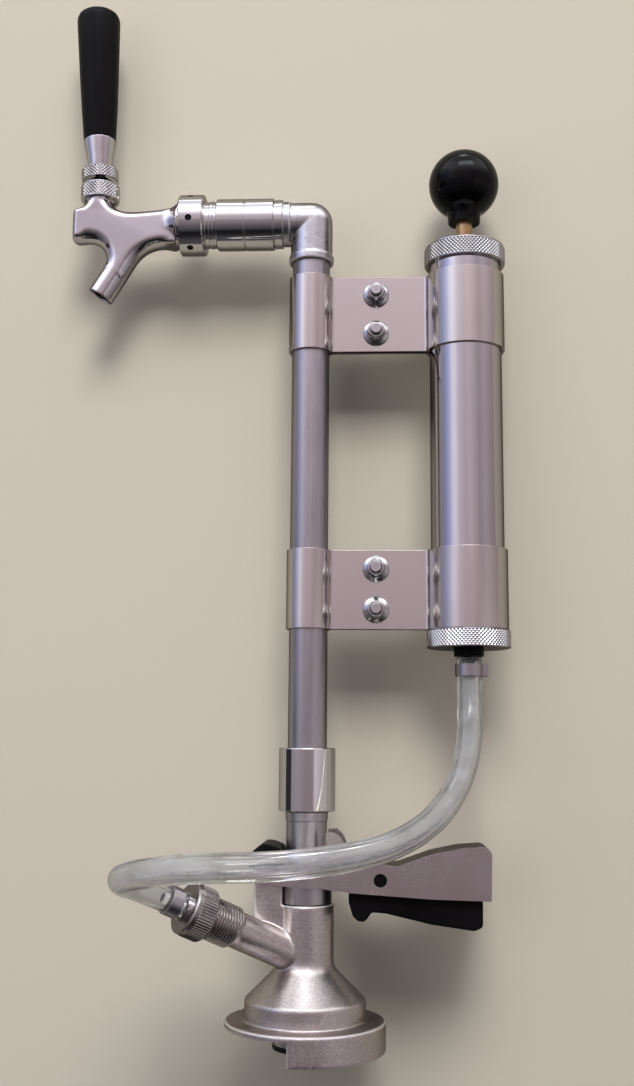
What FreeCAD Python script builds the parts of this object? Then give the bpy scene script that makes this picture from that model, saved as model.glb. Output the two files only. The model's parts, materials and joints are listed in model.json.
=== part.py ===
import FreeCAD, Part
import math
import os
import Sketcher

# Keg party pump, in millimetres. The origin is on the riser's axis, at the foot of the keg coupler.
# +Z runs up the riser, +X points to the hand pump and -X to the tap.

V = FreeCAD.Vector
doc = FreeCAD.newDocument("KegPartyPump")
sheet = doc.addObject("Spreadsheet::Sheet", "Sizes")
nodes = {}
ORIGIN = V(0, 0, 0)
UP = V(0, 0, 1)


class Dim:
    """A size that knows both its value and the expression that gives it."""

    def __init__(self, value, text=None):
        self.value = float(value)
        self.text = text or repr(float(value))

    def __float__(self):
        return self.value

    def _join(self, other, sign, value, swap=False):
        other = asDim(other)
        pair = (other.text, self.text) if swap else (self.text, other.text)
        return Dim(value, "(%s %s %s)" % (pair[0], sign, pair[1]))

    def __add__(self, other):
        return self._join(other, "+", self.value + float(other))

    def __radd__(self, other):
        return self._join(other, "+", self.value + float(other), True)

    def __sub__(self, other):
        return self._join(other, "-", self.value - float(other))

    def __rsub__(self, other):
        return self._join(other, "-", float(other) - self.value, True)

    def __mul__(self, other):
        return self._join(other, "*", self.value * float(other))

    def __rmul__(self, other):
        return self._join(other, "*", self.value * float(other), True)

    def __truediv__(self, other):
        return self._join(other, "/", self.value / float(other))

    def __neg__(self):
        return Dim(-self.value, "(-1 * %s)" % self.text)


def asDim(value):
    return value if isinstance(value, Dim) else Dim(value)


def sine(angle):
    return Dim(math.sin(math.radians(angle.value)), "sin(%s)" % angle.text)


def cosine(angle):
    return Dim(math.cos(math.radians(angle.value)), "cos(%s)" % angle.text)


def root(area):
    return Dim(math.sqrt(area.value), "sqrt(%s)" % area.text)


rows = 0


def size(name, value, note):
    """One driving size: a row of the sheet with its alias, and the Dim that reads it."""
    global rows
    rows += 1
    sheet.set("A%d" % rows, name)
    sheet.set("B%d" % rows, str(value))
    sheet.set("C%d" % rows, note)
    sheet.setAlias("B%d" % rows, name)
    return Dim(value, "Sizes." + name)


# Fits
runFit = size("runFit", 0.05, "radial clearance of a shaft or pin in its hole")
seatFit = size("seatFit", 0.3, "gap between moving faces that only pass each other")
tubeFit = size("tubeFit", 0.05, "radial gap of a clamp, cap or spigot on its tube")

# Coupler casting
flangeOd = size("flangeOd", 89, "round base flange")
flangeThick = size("flangeThick", 3.5, "its thickness")
footHeight = size("footHeight", 12.5, "clear height under the flange")
skirtWall = size("skirtWall", 3.5, "wall of the skirt round the closed side")
skirtReach = size("skirtReach", 7, "how far the skirt passes the axis towards the open side")
lipWidth = size("lipWidth", 12, "inward lip that grips the keg valve")
lipThick = size("lipThick", 3, "its thickness")
rimOd = size("rimOd", 67, "short cylinder above the flange")
rimTop = size("rimTop", 26.7, "height of its top")
neckOd = size("neckOd", 31, "neck")
coneTop = size("coneTop", 44.1, "height where the cone meets the neck")
neckTop = size("neckTop", 77.5, "height of the neck's top")
neckBlend = size("neckBlend", 9, "radius between cone and neck")
rimRound = size("rimRound", 3, "radius on the rim's upper edge")
headBoreTop = size("headBoreTop", 29, "top of the bore that takes the probe's head")
gasChamberR = size("gasChamberR", 13, "radius of the gas chamber round the probe")
gasChamberTop = size("gasChamberTop", 57, "top of the gas chamber")
bodySealOd = size("bodySealOd", 54, "flat seal under the flange")
bodySealThick = size("bodySealThick", 2.7, "its thickness")

# Gas port on the coupler
portHeight = size("portHeight", 47, "where the port's axis meets the riser's axis")
portRise = size("portRise", 24, "angle of the port above level")
portSwing = size("portSwing", 32, "angle of the port forward of -X")
portOd = size("portOd", 19.5, "port tube")
portBore = size("portBore", 8, "port bore")
threadOd = size("threadOd", 22.9, "5/8 inch thread of the port")
threadStart = size("threadStart", 48, "distance of the thread's start from the axis")
portEnd = size("portEnd", 72, "distance of the port's end face")
gasNutOd = size("gasNutOd", 29, "knurled gas nut")
gasNutLength = size("gasNutLength", 13.5, "its length")
gasNutStart = size("gasNutStart", 66.5, "distance of its near face")
gasNutLip = size("gasNutLip", 4, "lip that holds the tailpiece")
washerThick = size("washerThick", 1.5, "fibre washers of the gas and beer nuts")
tailFlangeR = size("tailFlangeR", 10.2, "tailpiece flange radius")
tailFlangeThick = size("tailFlangeThick", 2.5, "its thickness")
tailStemR = size("tailStemR", 7.5, "tailpiece stem through the nut's lip")

# Hose and its clamps
hoseOd = size("hoseOd", 14.3, "9/16 inch clear hose")
hoseBore = size("hoseBore", 7.9, "5/16 inch bore")
barbGap = size("barbGap", 0.06, "gap between a barb's ridges and the hose bore")
barbLength = size("barbLength", 12.8, "length of a barb inside the hose")
barbWaist = size("barbWaist", 3.3, "radius between the ridges")
barbBore = size("barbBore", 2.3, "radius of the hole in a barb")
hoseClampWidth = size("hoseClampWidth", 7, "band of a stepless ear clamp")
hoseClampThick = size("hoseClampThick", 0.8, "its thickness")
hoseClampEar = size("hoseClampEar", 3.4, "height of its ear")

# Lever and probe
hingeX = size("hingeX", -24, "lever hinge, X")
hingeZ = size("hingeZ", 95, "lever hinge, Z")
hingePinR = size("hingePinR", 3, "hinge pin radius")
earR = size("earR", 6, "radius of the casting's ear round the hinge")
earBack = size("earBack", 4.3, "how far the ear reaches behind the hinge")
earWeb = size("earWeb", 10.5, "half thickness of the ear below its eye")
earOuter = size("earOuter", 14.3, "half width of the ear")
earFoot = size("earFoot", 60, "height where the ear starts")
plateThick = size("plateThick", 2.4, "side plates of the lever")
leverEndR = size("leverEndR", 5.2, "radius of the lever's hinge end")
drivePinX = size("drivePinX", -0.7, "drive pin, X")
drivePinZ = size("drivePinZ", 90.3, "drive pin, Z")
drivePinR = size("drivePinR", 2.3, "drive pin radius")
collarOd = size("collarOd", 28.5, "probe collar")
collarBottom = size("collarBottom", 78, "height of the collar's lower face")
collarTop = size("collarTop", 96, "height of the collar's top")
grooveR = size("grooveR", 10, "radius at the bottom of the drive groove")
grooveFit = size("grooveFit", 0.35, "gap on each side of a drive pin in the groove")
webStart = size("webStart", 31, "where the lever's top web starts")
probeOd = size("probeOd", 22, "probe tube inside the coupler")
stemOd = size("stemOd", 22.8, "probe above the collar")
stemShoulder = size("stemShoulder", 122.7, "height of the step above the stem")
stemTopOd = size("stemTopOd", 23.8, "probe between the step and the beer nut")
probeTop = size("probeTop", 145, "top of the probe's thread")
headOd = size("headOd", 35.8, "probe head")
headTop = size("headTop", 9.8, "height of the head's upper face")
sealBottom = size("sealBottom", 0.6, "height of the probe seal's lower face")
sealThick = size("sealThick", 3, "thickness of the probe seal")
beerBore = size("beerBore", 13.2, "bore of the probe")
seatR = size("seatR", 4.2, "radius of the ball seat")
seatZ = size("seatZ", 8, "height of the ball seat")
ballR = size("ballR", 5.5, "check ball radius")
ballLift = size("ballLift", 4, "travel of the check ball")
ringSection = size("ringSection", 0.85, "section radius of the probe's rings")
triggerX = size("triggerX", 41.5, "trigger pivot, X")
triggerZ = size("triggerZ", 92, "trigger pivot, Z")
triggerHoleR = size("triggerHoleR", 3.65, "radius of the hole in the plates")
triggerHalf = size("triggerHalf", 13, "half width of the trigger")

# Beer nut and riser
beerNutOd = size("beerNutOd", 32, "round beer nut")
beerNutBottom = size("beerNutBottom", 128, "its lower face")
beerNutTop = size("beerNutTop", 163, "its upper face")
ferruleR = size("ferruleR", 13, "flange radius of the riser's ferrule")
ferruleThick = size("ferruleThick", 3, "its thickness")
riserOd = size("riserOd", 22.2, "7/8 inch riser tube")
riserWall = size("riserWall", 1.2, "its wall")
spigotLength = size("spigotLength", 15, "ferrule and nipple length inside the tube")
lineBoreR = size("lineBoreR", 6.5, "radius of the beer line through the fittings")
nippleR = size("nippleR", 10.4, "half inch pipe thread radius")
nippleDepth = size("nippleDepth", 14, "thread length inside the elbow")

# Elbow and tap
tapAxisZ = size("tapAxisZ", 477, "height of the tap's axis")
elbowR = size("elbowR", 12.6, "radius of the elbow's barrels")
elbowBottom = size("elbowBottom", 451.3, "lower end of the elbow")
riserTop = elbowBottom
elbowReach = size("elbowReach", 17.3, "level end of the elbow from the riser's axis")
bandR = size("bandR", 13.4, "radius of the band at each end")
bandLength = size("bandLength", 4.4, "its length")
adapterBandR = size("adapterBandR", 14.5, "first band of the tap adapter")
adapterR = size("adapterR", 15.5, "main barrel of the adapter")
adapterBandEnd = size("adapterBandEnd", 22, "end of the first band")
adapterEnd = size("adapterEnd", 57.5, "end of the main barrel")
lineGrooveAt = size("lineGrooveAt", 40, "place of the thin line groove")
lineGrooveWidth = size("lineGrooveWidth", 1, "its width")
ringStart = size("ringStart", 64.8, "near face of the coupling ring")
ringEnd = size("ringEnd", 80, "far face of the coupling ring")
ringOd = size("ringOd", 36.5, "coupling ring")
ringThreadR = size("ringThreadR", 14.2, "thread under the ring")
ringLip = size("ringLip", 3, "lip of the ring")
ringHoleR = size("ringHoleR", 2, "spanner holes in the ring")
ringHoles = size("ringHoles", 6, "number of spanner holes")
faceU = size("faceU", 72.6, "end face of the adapter under the ring")
shoulderR = size("shoulderR", 11.7, "shoulder of the tap body")
waistR = size("waistR", 9.3, "waist of the tap body")
barrelR = size("barrelR", 10.3, "barrel of the tap body")
spoutRoot = size("spoutRoot", 101.5, "where the spout's axis leaves the tap's axis")
spoutLean = size("spoutLean", 31, "angle of the spout from the vertical")
spoutLength = size("spoutLength", 52.2, "length of the spout from the tap's axis")
spoutR = size("spoutR", 8.05, "radius of the spout's end")
spoutRootR = size("spoutRootR", 9.2, "radius of the spout's root")
spoutBoreR = size("spoutBoreR", 6.5, "radius of the spout's bore")
bossU = size("bossU", 130.5, "axis of the tap lever from the riser's axis")
bossR = size("bossR", 9.2, "radius of the lever boss")
noseReach = size("noseReach", 15.8, "how far the tap's nose passes the lever's axis")
noseU = bossU + noseReach
webHalf = size("webHalf", 8.6, "half thickness of the body's flat-sided Y")
webTop = size("webTop", 8.8, "upper edge of the Y behind the boss, above the tap's axis")
webDrop = size("webDrop", 13.8, "lower edge of the Y at the shank, below the tap's axis")
webRun = size("webRun", 36, "length of the Y along the spout")
webRound = size("webRound", 2, "radius on the edges of the Y")
frontBay = size("frontBay", 9.8, "radius of the bay between nose and spout")
rearBay = size("rearBay", 19, "radius of the bay between spout and shank")
topBay = size("topBay", 7, "radius of the bay between boss and shank")
flareR = size("flareR", 14.2, "flare of the body beside the coupling ring")
flareEnd = size("flareEnd", 92.5, "where the flare ends")
spoutWideRun = size("spoutWideRun", 34, "length of the bore's wide end")
spoutThroatR = size("spoutThroatR", 5.4, "radius of the bore behind it")
tapBallZ = size("tapBallZ", 496.5, "height of the lever's ball")
tapBallR = size("tapBallR", 7.8, "its radius")
tapLean = size("tapLean", 2.5, "lean of the closed tap lever")
bonnetOd = size("bonnetOd", 24.5, "knurled bonnet")
bonnetBottom = size("bonnetBottom", 493.3, "its lower face")
bonnetShoulder = size("bonnetShoulder", 502.6, "height of its upper edge")
bonnetTop = size("bonnetTop", 504.5, "height of its top")
bonnetMouthR = size("bonnetMouthR", 7.4, "radius of its mouth")
fingerR = size("fingerR", 2.5, "radius of the finger under the ball")
fingerArm = size("fingerArm", 21, "distance of the finger's tip from the ball")
tapStemR = size("tapStemR", 3, "stem radius above the ball")
tapCollarR = size("tapCollarR", 11.65, "knurled lever collar")
tapCollarAt = size("tapCollarAt", 9.9, "its lower face above the ball")
tapCollarLength = size("tapCollarLength", 7.4, "its length")
ferruleLength = size("ferruleLength", 19.2, "chrome ferrule of the tap handle")
ferruleFootR = size("ferruleFootR", 7.25, "its lower radius")
ferruleHeadR = size("ferruleHeadR", 9.75, "its upper radius")
handleLength = size("handleLength", 85.5, "black tap handle")
handleFootR = size("handleFootR", 9.85, "its lower radius")
handleHeadR = size("handleHeadR", 13.35, "its upper radius")
shaftR = size("shaftR", 5, "tap shaft")
shaftWaistR = size("shaftWaistR", 2.8, "tap shaft at the seat")
chamberR = size("chamberR", 6.8, "chamber in the tap body")
seatU = size("seatU", 87, "valve seat of the tap")
tapSeatR = size("tapSeatR", 4.6, "radius of the seat's hole")
tapWasherR = size("tapWasherR", 6.6, "radius of the seat washer")
tapWasherThick = size("tapWasherThick", 2.6, "its thickness")

# Hand pump
pumpX = size("pumpX", 92, "axis of the pump")
pumpOd = size("pumpOd", 42.4, "pump tube")
pumpWall = size("pumpWall", 1.2, "its wall")
pumpBottom = size("pumpBottom", 219.8, "lower face of the bottom cap")
pumpTop = size("pumpTop", 459.5, "upper face of the top cap")
capOd = size("capOd", 48.2, "knurled caps")
bottomCapLength = size("bottomCapLength", 10.4, "bottom cap")
topCapLength = size("topCapLength", 11, "top cap")
capPlate = size("capPlate", 3.2, "end plate of a cap")
gasketThick = size("gasketThick", 1, "cap gasket")
valveSeatZ = size("valveSeatZ", 230, "lower face of the outlet valve's seat plate")
valveSeatThick = size("valveSeatThick", 3, "its thickness")
valveHoleR = size("valveHoleR", 3.5, "its hole")
valveDiscR = size("valveDiscR", 6.5, "outlet valve disc")
valveDiscThick = size("valveDiscThick", 2, "its thickness")
valveSpringR = size("valveSpringR", 4, "mean radius of the valve spring")
valveWireR = size("valveWireR", 0.45, "its wire radius")
rodR = size("rodR", 5, "pump rod")
bushR = size("bushR", 8.6, "rod bush")
bushFlangeR = size("bushFlangeR", 11, "its flange")
bushFlangeThick = size("bushFlangeThick", 1.8, "flange thickness")
bushDepth = size("bushDepth", 12, "bush length inside the pump")
pistonBottom = size("pistonBottom", 236, "lower end of the rod")
pistonNutAcross = size("pistonNutAcross", 13, "M8 nut across flats")
pistonNutThick = size("pistonNutThick", 5, "its thickness")
pistonDiscR = size("pistonDiscR", 18.6, "piston discs")
pistonDiscThick = size("pistonDiscThick", 2, "their thickness")
pistonCupHeight = size("pistonCupHeight", 8, "cup seal")
pistonCupSkin = size("pistonCupSkin", 2, "its skin")
rodThreadR = size("rodThreadR", 4, "thread at the rod's lower end")
knobR = size("knobR", 21, "ball knob")
knobZ = size("knobZ", 500.7, "its centre")
knobBossR = size("knobBossR", 9.5, "boss under the knob")
knobBottom = size("knobBottom", 476, "its lower face")
knobSocket = size("knobSocket", 16, "depth of the rod in the knob")
outletBossR = size("outletBossR", 8.6, "round body of the outlet barb")
outletBossLength = size("outletBossLength", 4.6, "its length under the cap")
outletThreadR = size("outletThreadR", 5.2, "its thread in the cap")

# Clamps
clampHeight = size("clampHeight", 46, "height of a clamp")
lowerClampZ = size("lowerClampZ", 230.4, "lower edge of the lower clamp")
upperClampZ = size("upperClampZ", 395.6, "lower edge of the upper clamp")
clampThick = size("clampThick", 1.8, "sheet of the clamp halves")
clampSplit = size("clampSplit", 0.6, "half of the gap where the halves meet")
tabGap = size("tabGap", 1.2, "half of the gap between the flat tabs")
clampBend = size("clampBend", 2.2, "inner radius of the bends beside the tab")
boltPitch = size("boltPitch", 23.7, "distance between the two bolts of a clamp")
boltX = size("boltX", 39, "distance of the bolts from the riser's axis")
boltR = size("boltR", 3, "M6 bolts")
boltHoleR = size("boltHoleR", 3.3, "their holes")
boltHeadAcross = size("boltHeadAcross", 10, "bolt head across flats")
boltHeadThick = size("boltHeadThick", 4, "its thickness")
boltStub = size("boltStub", 4.5, "thread beyond the nut")
nutAcross = size("nutAcross", 10, "nut across flats")
nutThick = size("nutThick", 6.4, "nut height with its nylon collar")
nutCollar = size("nutCollar", 1.6, "round collar at the nut's end")
nutFlangeR = size("nutFlangeR", 7.1, "flange of the nut")
nutFlangeThick = size("nutFlangeThick", 1.2, "its thickness")
boltWasherR = size("boltWasherR", 6.2, "washer under a bolt head")
boltWasherThick = size("boltWasherThick", 1.4, "its thickness")

doc.recompute()


def bind(obj, **links):
    for prop, dim in links.items():
        dim = asDim(dim)
        setattr(obj, prop, dim.value)
        obj.setExpression(prop, dim.text)


def place(obj, x=0, y=0, z=0, toward=UP):
    """Put an object at bound coordinates, with its own Z axis turned toward a direction."""
    spot = [asDim(x), asDim(y), asDim(z)]
    obj.Placement = FreeCAD.Placement(V(*[one.value for one in spot]), FreeCAD.Rotation(UP, toward))
    for name, one in zip("xyz", spot):
        obj.setExpression("Placement.Base." + name, one.text)
    return obj


def node(name, obj):
    obj.Label = name
    nodes[name] = obj
    return obj


def originPlane(body, role):
    return [one for one in body.Origin.OriginFeatures if one.Role == role][0]


def outline(body, points, role="XZ_Plane", offset=None):
    """A closed sketch of straight lines whose corners are all held by bound distances."""
    sketch = body.newObject("Sketcher::SketchObject", body.Name + "Outline")
    sketch.AttachmentSupport = [(originPlane(body, role), "")]
    sketch.MapMode = "FlatFace"
    if offset is not None:
        sketch.AttachmentOffset = FreeCAD.Placement(V(0, 0, float(offset)), FreeCAD.Rotation())
        sketch.setExpression("AttachmentOffset.Base.z", asDim(offset).text)
    spots = [(asDim(a), asDim(b)) for a, b in points]
    count = len(spots)
    for i in range(count):
        start, end = spots[i], spots[(i + 1) % count]
        line = Part.LineSegment(V(start[0].value, start[1].value, 0), V(end[0].value, end[1].value, 0))
        sketch.addGeometry(line, False)
    for i in range(count):
        sketch.addConstraint(Sketcher.Constraint("Coincident", i, 2, (i + 1) % count, 1))
    for i, (across, up) in enumerate(spots):
        for kind, dim, axis in (("DistanceX", across, -2), ("DistanceY", up, -1)):
            if abs(dim.value) < 1e-9:
                sketch.addConstraint(Sketcher.Constraint("PointOnObject", i, 1, axis))
                continue
            index = sketch.addConstraint(Sketcher.Constraint(kind, -1, 1, i, 1, dim.value))
            sketch.setExpression("Constraints[%d]" % index, dim.text)
    return sketch


def turned(name, profile, **where):
    """A body of revolution round its own Z axis, from corners given as radius and height."""
    body = doc.addObject("PartDesign::Body", name.title().replace("_", "") + "Body")
    sketch = outline(body, profile)
    spin = body.newObject("PartDesign::Revolution", body.Name + "Turn")
    spin.Profile = sketch
    spin.ReferenceAxis = (sketch, ["V_Axis"])
    spin.Angle = 360
    body.Tip = spin
    place(body, **where)
    doc.recompute()
    return body


def plate(name, points, half, inner=0, **where):
    """A flat piece cut to an outline of X and Z, between y = -half and y = half or -inner."""
    body = doc.addObject("PartDesign::Body", name.title().replace("_", "") + "Body")
    back = asDim(half) if inner == 0 else -asDim(inner)
    sketch = outline(body, points, offset=-back)
    pad = body.newObject("PartDesign::Pad", body.Name + "Pad")
    pad.Profile = sketch
    bind(pad, Length=asDim(half) + back)
    body.Tip = pad
    place(body, **where)
    doc.recompute()
    return body


def soften(body, radius, wanted):
    """Fillet the edges of a body that the test picks out."""
    names = ["Edge%d" % (i + 1) for i, edge in enumerate(body.Tip.Shape.Edges) if wanted(edge)]
    if not names:
        raise RuntimeError("no edge to round on " + body.Name)
    base = body.Tip
    rounded = body.newObject("PartDesign::Fillet", body.Name + "Round%d" % len(body.Group))
    rounded.Base = (base, names)
    bind(rounded, Radius=radius)
    body.Tip = rounded
    doc.recompute()
    if rounded.Shape.isNull() or not rounded.Shape.isValid():
        raise RuntimeError("no room for a radius of %.1f on %s" % (radius, body.Name))
    return body


def ringAt(radius, height):
    """Test for a full circle of this radius at this height on a turned body."""
    def wanted(edge):
        curve = edge.Curve
        if not isinstance(curve, Part.Circle):
            return False
        return abs(curve.Radius - float(radius)) < 1e-4 and abs(curve.Center.z - float(height)) < 1e-4
    return wanted


def cornerAt(*corners):
    """Test for an edge along Y that stands on one of these corners of a plate."""
    def wanted(edge):
        if not isinstance(edge.Curve, Part.Line):
            return False
        first, last = edge.Vertexes[0].Point, edge.Vertexes[-1].Point
        if abs(first.x - last.x) > 1e-4 or abs(first.z - last.z) > 1e-4:
            return False
        return any(abs(first.x - float(x)) < 1e-4 and abs(first.z - float(z)) < 1e-4 for x, z in corners)
    return wanted


def cylinder(name, radius, height, **where):
    obj = doc.addObject("Part::Cylinder", name)
    bind(obj, Radius=radius, Height=height)
    return place(obj, **where)


def box(name, low, high):
    obj = doc.addObject("Part::Box", name)
    low, high = [asDim(one) for one in low], [asDim(one) for one in high]
    bind(obj, Length=high[0] - low[0], Width=high[1] - low[1], Height=high[2] - low[2])
    return place(obj, x=low[0], y=low[1], z=low[2])


def prism(name, across, height, **where):
    """A hexagon of this size across its flats."""
    obj = doc.addObject("Part::Prism", name)
    obj.Polygon = 6
    bind(obj, Circumradius=asDim(across) / math.sqrt(3), Height=height)
    return place(obj, **where)


def fuse(name, *pieces):
    obj = doc.addObject("Part::MultiFuse", name)
    obj.Shapes = list(pieces)
    obj.Refine = True
    doc.recompute()
    return obj


def cut(name, base, tool):
    obj = doc.addObject("Part::Cut", name)
    obj.Base = base
    obj.Tool = tool
    obj.Refine = True
    doc.recompute()
    return obj


def common(name, *pieces):
    obj = doc.addObject("Part::MultiCommon", name)
    obj.Shapes = list(pieces)
    doc.recompute()
    return obj


def group(name, shapes):
    """Identical small pieces that share one node."""
    obj = doc.addObject("Part::Compound", name)
    obj.Links = shapes
    doc.recompute()
    return obj


def ring(name, innerR, outerR, bottom, top, **where):
    profile = [(innerR, bottom), (outerR, bottom), (outerR, top), (innerR, top)]
    return turned(name, profile, **where)


# Directions of the gas port, the tap and its spout
portAlong = V(-math.cos(math.radians(float(portRise))) * math.cos(math.radians(float(portSwing))),
              -math.cos(math.radians(float(portRise))) * math.sin(math.radians(float(portSwing))),
              math.sin(math.radians(float(portRise))))
tapAlong = V(-1, 0, 0)
spoutAlong = V(-math.sin(math.radians(float(spoutLean))), 0, -math.cos(math.radians(float(spoutLean))))
leverAlong = V(-math.sin(math.radians(float(tapLean))), 0, math.cos(math.radians(float(tapLean))))
atPort = dict(z=portHeight, toward=portAlong)
atTap = dict(z=tapAxisZ, toward=tapAlong)
atLever = dict(x=-bossU, z=tapBallZ, toward=leverAlong)
atPump = dict(x=pumpX)


def couplerBody():
    flangeTop = footHeight + flangeThick
    bell = turned("coupler_bell", [
        (0, footHeight), (flangeOd / 2, footHeight), (flangeOd / 2, flangeTop), (rimOd / 2, flangeTop),
        (rimOd / 2, rimTop), (neckOd / 2, coneTop), (neckOd / 2, neckTop), (0, neckTop)])
    soften(bell, neckBlend, ringAt(neckOd / 2, coneTop))
    soften(bell, rimRound, ringAt(rimOd / 2, rimTop))
    soften(bell, flangeThick * 0.35, ringAt(flangeOd / 2, flangeTop))

    # The skirt closes the +X side only, so the foot slides onto the keg valve from -X
    wall = cylinder("SkirtOuter", flangeOd / 2, footHeight)
    hollow = cylinder("SkirtInner", flangeOd / 2 - skirtWall, footHeight, z=lipThick)
    mouth = cylinder("SkirtMouth", flangeOd / 2 - skirtWall - lipWidth, footHeight)
    skirtRing = cut("SkirtRing", wall, fuse("SkirtHollow", hollow, mouth))
    half = box("SkirtHalf", (-skirtReach, -flangeOd, 0), (flangeOd, flangeOd, footHeight))
    skirt = common("Skirt", skirtRing, half)

    port = cylinder("PortTube", portOd / 2, portEnd, **atPort)
    thread = turned("port_thread", [(0, threadStart), (portOd / 2, threadStart),
                                    (threadOd / 2, threadStart + 1.5),
                                    (threadOd / 2, portEnd - 0.8), (threadOd / 2 - 0.8, portEnd),
                                    (0, portEnd)],
                    **atPort)
    pieces = [bell, skirt, port, thread]

    # The ear behind the neck carries the lever's hinge pin and is hollowed to clear the probe's collar
    back, front = hingeX - earBack, -collarOd / 2 + 1.8
    ear = plate("coupler_ear", [
        (-neckOd / 4, earFoot - 2), (hingeX + 3, earFoot + 2), (back, earFoot + 9), (back, hingeZ),
        (hingeX + earR, hingeZ), (front, hingeZ - 4), (front, neckTop), (-neckOd / 4, neckTop)], earWeb)
    soften(ear, 3, cornerAt((back, earFoot + 9), (hingeX + 3, earFoot + 2)))
    eye = cylinder("EarEye", earR, 2 * earOuter, x=hingeX, y=earOuter, z=hingeZ, toward=V(0, -1, 0))
    pieces += [ear, eye]
    casting = fuse("CouplerCasting", *pieces)

    inside = turned("coupler_bore", [
        (0, footHeight - 1), (headOd / 2 + 0.6, footHeight - 1), (headOd / 2 + 0.6, headBoreTop),
        (gasChamberR, headBoreTop),
        (gasChamberR, gasChamberTop), (probeOd / 2 + runFit, gasChamberTop + 1),
        (probeOd / 2 + runFit, neckTop), (collarOd / 2 + seatFit + 0.1, neckTop),
        (collarOd / 2 + seatFit + 0.1, collarTop + 20), (0, collarTop + 20)])
    gasBore = cylinder("PortBore", portBore / 2, portEnd + 1, **atPort)
    pinHole = cylinder("HingeHole", hingePinR + runFit, 2 * earOuter + 2, x=hingeX, y=earOuter + 1, z=hingeZ,
                       toward=V(0, -1, 0))
    return node("coupler_body", cut("CouplerBody", casting, fuse("CouplerBores", inside, gasBore, pinHole)))


def barbProfile(start, baseR, ridges):
    """Corners of a hose barb from its root towards its tip: three saw-tooth ridges and a hole."""
    ridgeR = hoseBore / 2 - barbGap
    step = barbLength / ridges
    corners = []
    for i in range(ridges):
        corners += [(ridgeR, start + step * i + step * 0.35), (barbWaist, start + step * (i + 1))]
    return [(baseR, start), (barbWaist, start), (barbWaist, start + step * 0.35)] + corners


def gasFittings():
    nutBoreR = threadOd / 2 + tubeFit
    nutEnd = gasNutStart + gasNutLength
    node("gas_nut", turned("gas_nut", [
        (nutBoreR, gasNutStart), (gasNutOd / 2 - 0.8, gasNutStart), (gasNutOd / 2, gasNutStart + 0.8),
        (gasNutOd / 2, nutEnd - 0.8), (gasNutOd / 2 - 0.8, nutEnd), (tailStemR + tubeFit, nutEnd),
        (tailStemR + tubeFit, nutEnd - gasNutLip), (nutBoreR, nutEnd - gasNutLip)], **atPort))
    node("gas_washer", ring("gas_washer", portBore / 2, tailFlangeR, portEnd, portEnd + washerThick,
                            **atPort))
    flange = portEnd + washerThick
    barbStart = nutEnd + 2
    profile = [(barbBore, flange), (tailFlangeR, flange), (tailFlangeR, flange + tailFlangeThick),
               (tailStemR, flange + tailFlangeThick)]
    profile += barbProfile(barbStart, tailStemR, 3) + [(barbBore, barbStart + barbLength)]
    node("gas_tailpiece", turned("gas_tailpiece", profile, **atPort))
    node("gas_check_valve", turned("gas_check_valve", [
        (1, portEnd - 9), (1.8, portEnd - 9), (portBore / 2 - 0.6, portEnd - 2.2),
        (portBore / 2 - tubeFit, portEnd - 2.2),
        (portBore / 2 - tubeFit, portEnd), (portBore / 2 - 1.6, portEnd)], **atPort))
    return barbStart


def earClamp(name, start, ear, **where):
    """A stepless band round the hose with its pinched ear."""
    innerR = hoseOd / 2 + tubeFit
    band = ring(name + "_band", innerR, innerR + hoseClampThick, start, start + hoseClampWidth, **where)
    rotation = FreeCAD.Rotation(UP, where.get("toward", UP))
    ears = doc.addObject("Part::Box", name + "Ear")
    bind(ears, Length=hoseClampEar, Width=6, Height=hoseClampWidth)
    base = FreeCAD.Placement(V(float(where.get("x", 0)), 0, float(where.get("z", 0))), rotation)
    local = FreeCAD.Placement(V(float(innerR) + 0.2, -3, float(start)), FreeCAD.Rotation())
    turn = FreeCAD.Placement(ORIGIN, FreeCAD.Rotation(V(1, 0, 0), ear))
    ears.Placement = base.multiply(turn).multiply(local)
    return node(name, fuse(name + "Whole", band, ears))


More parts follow.
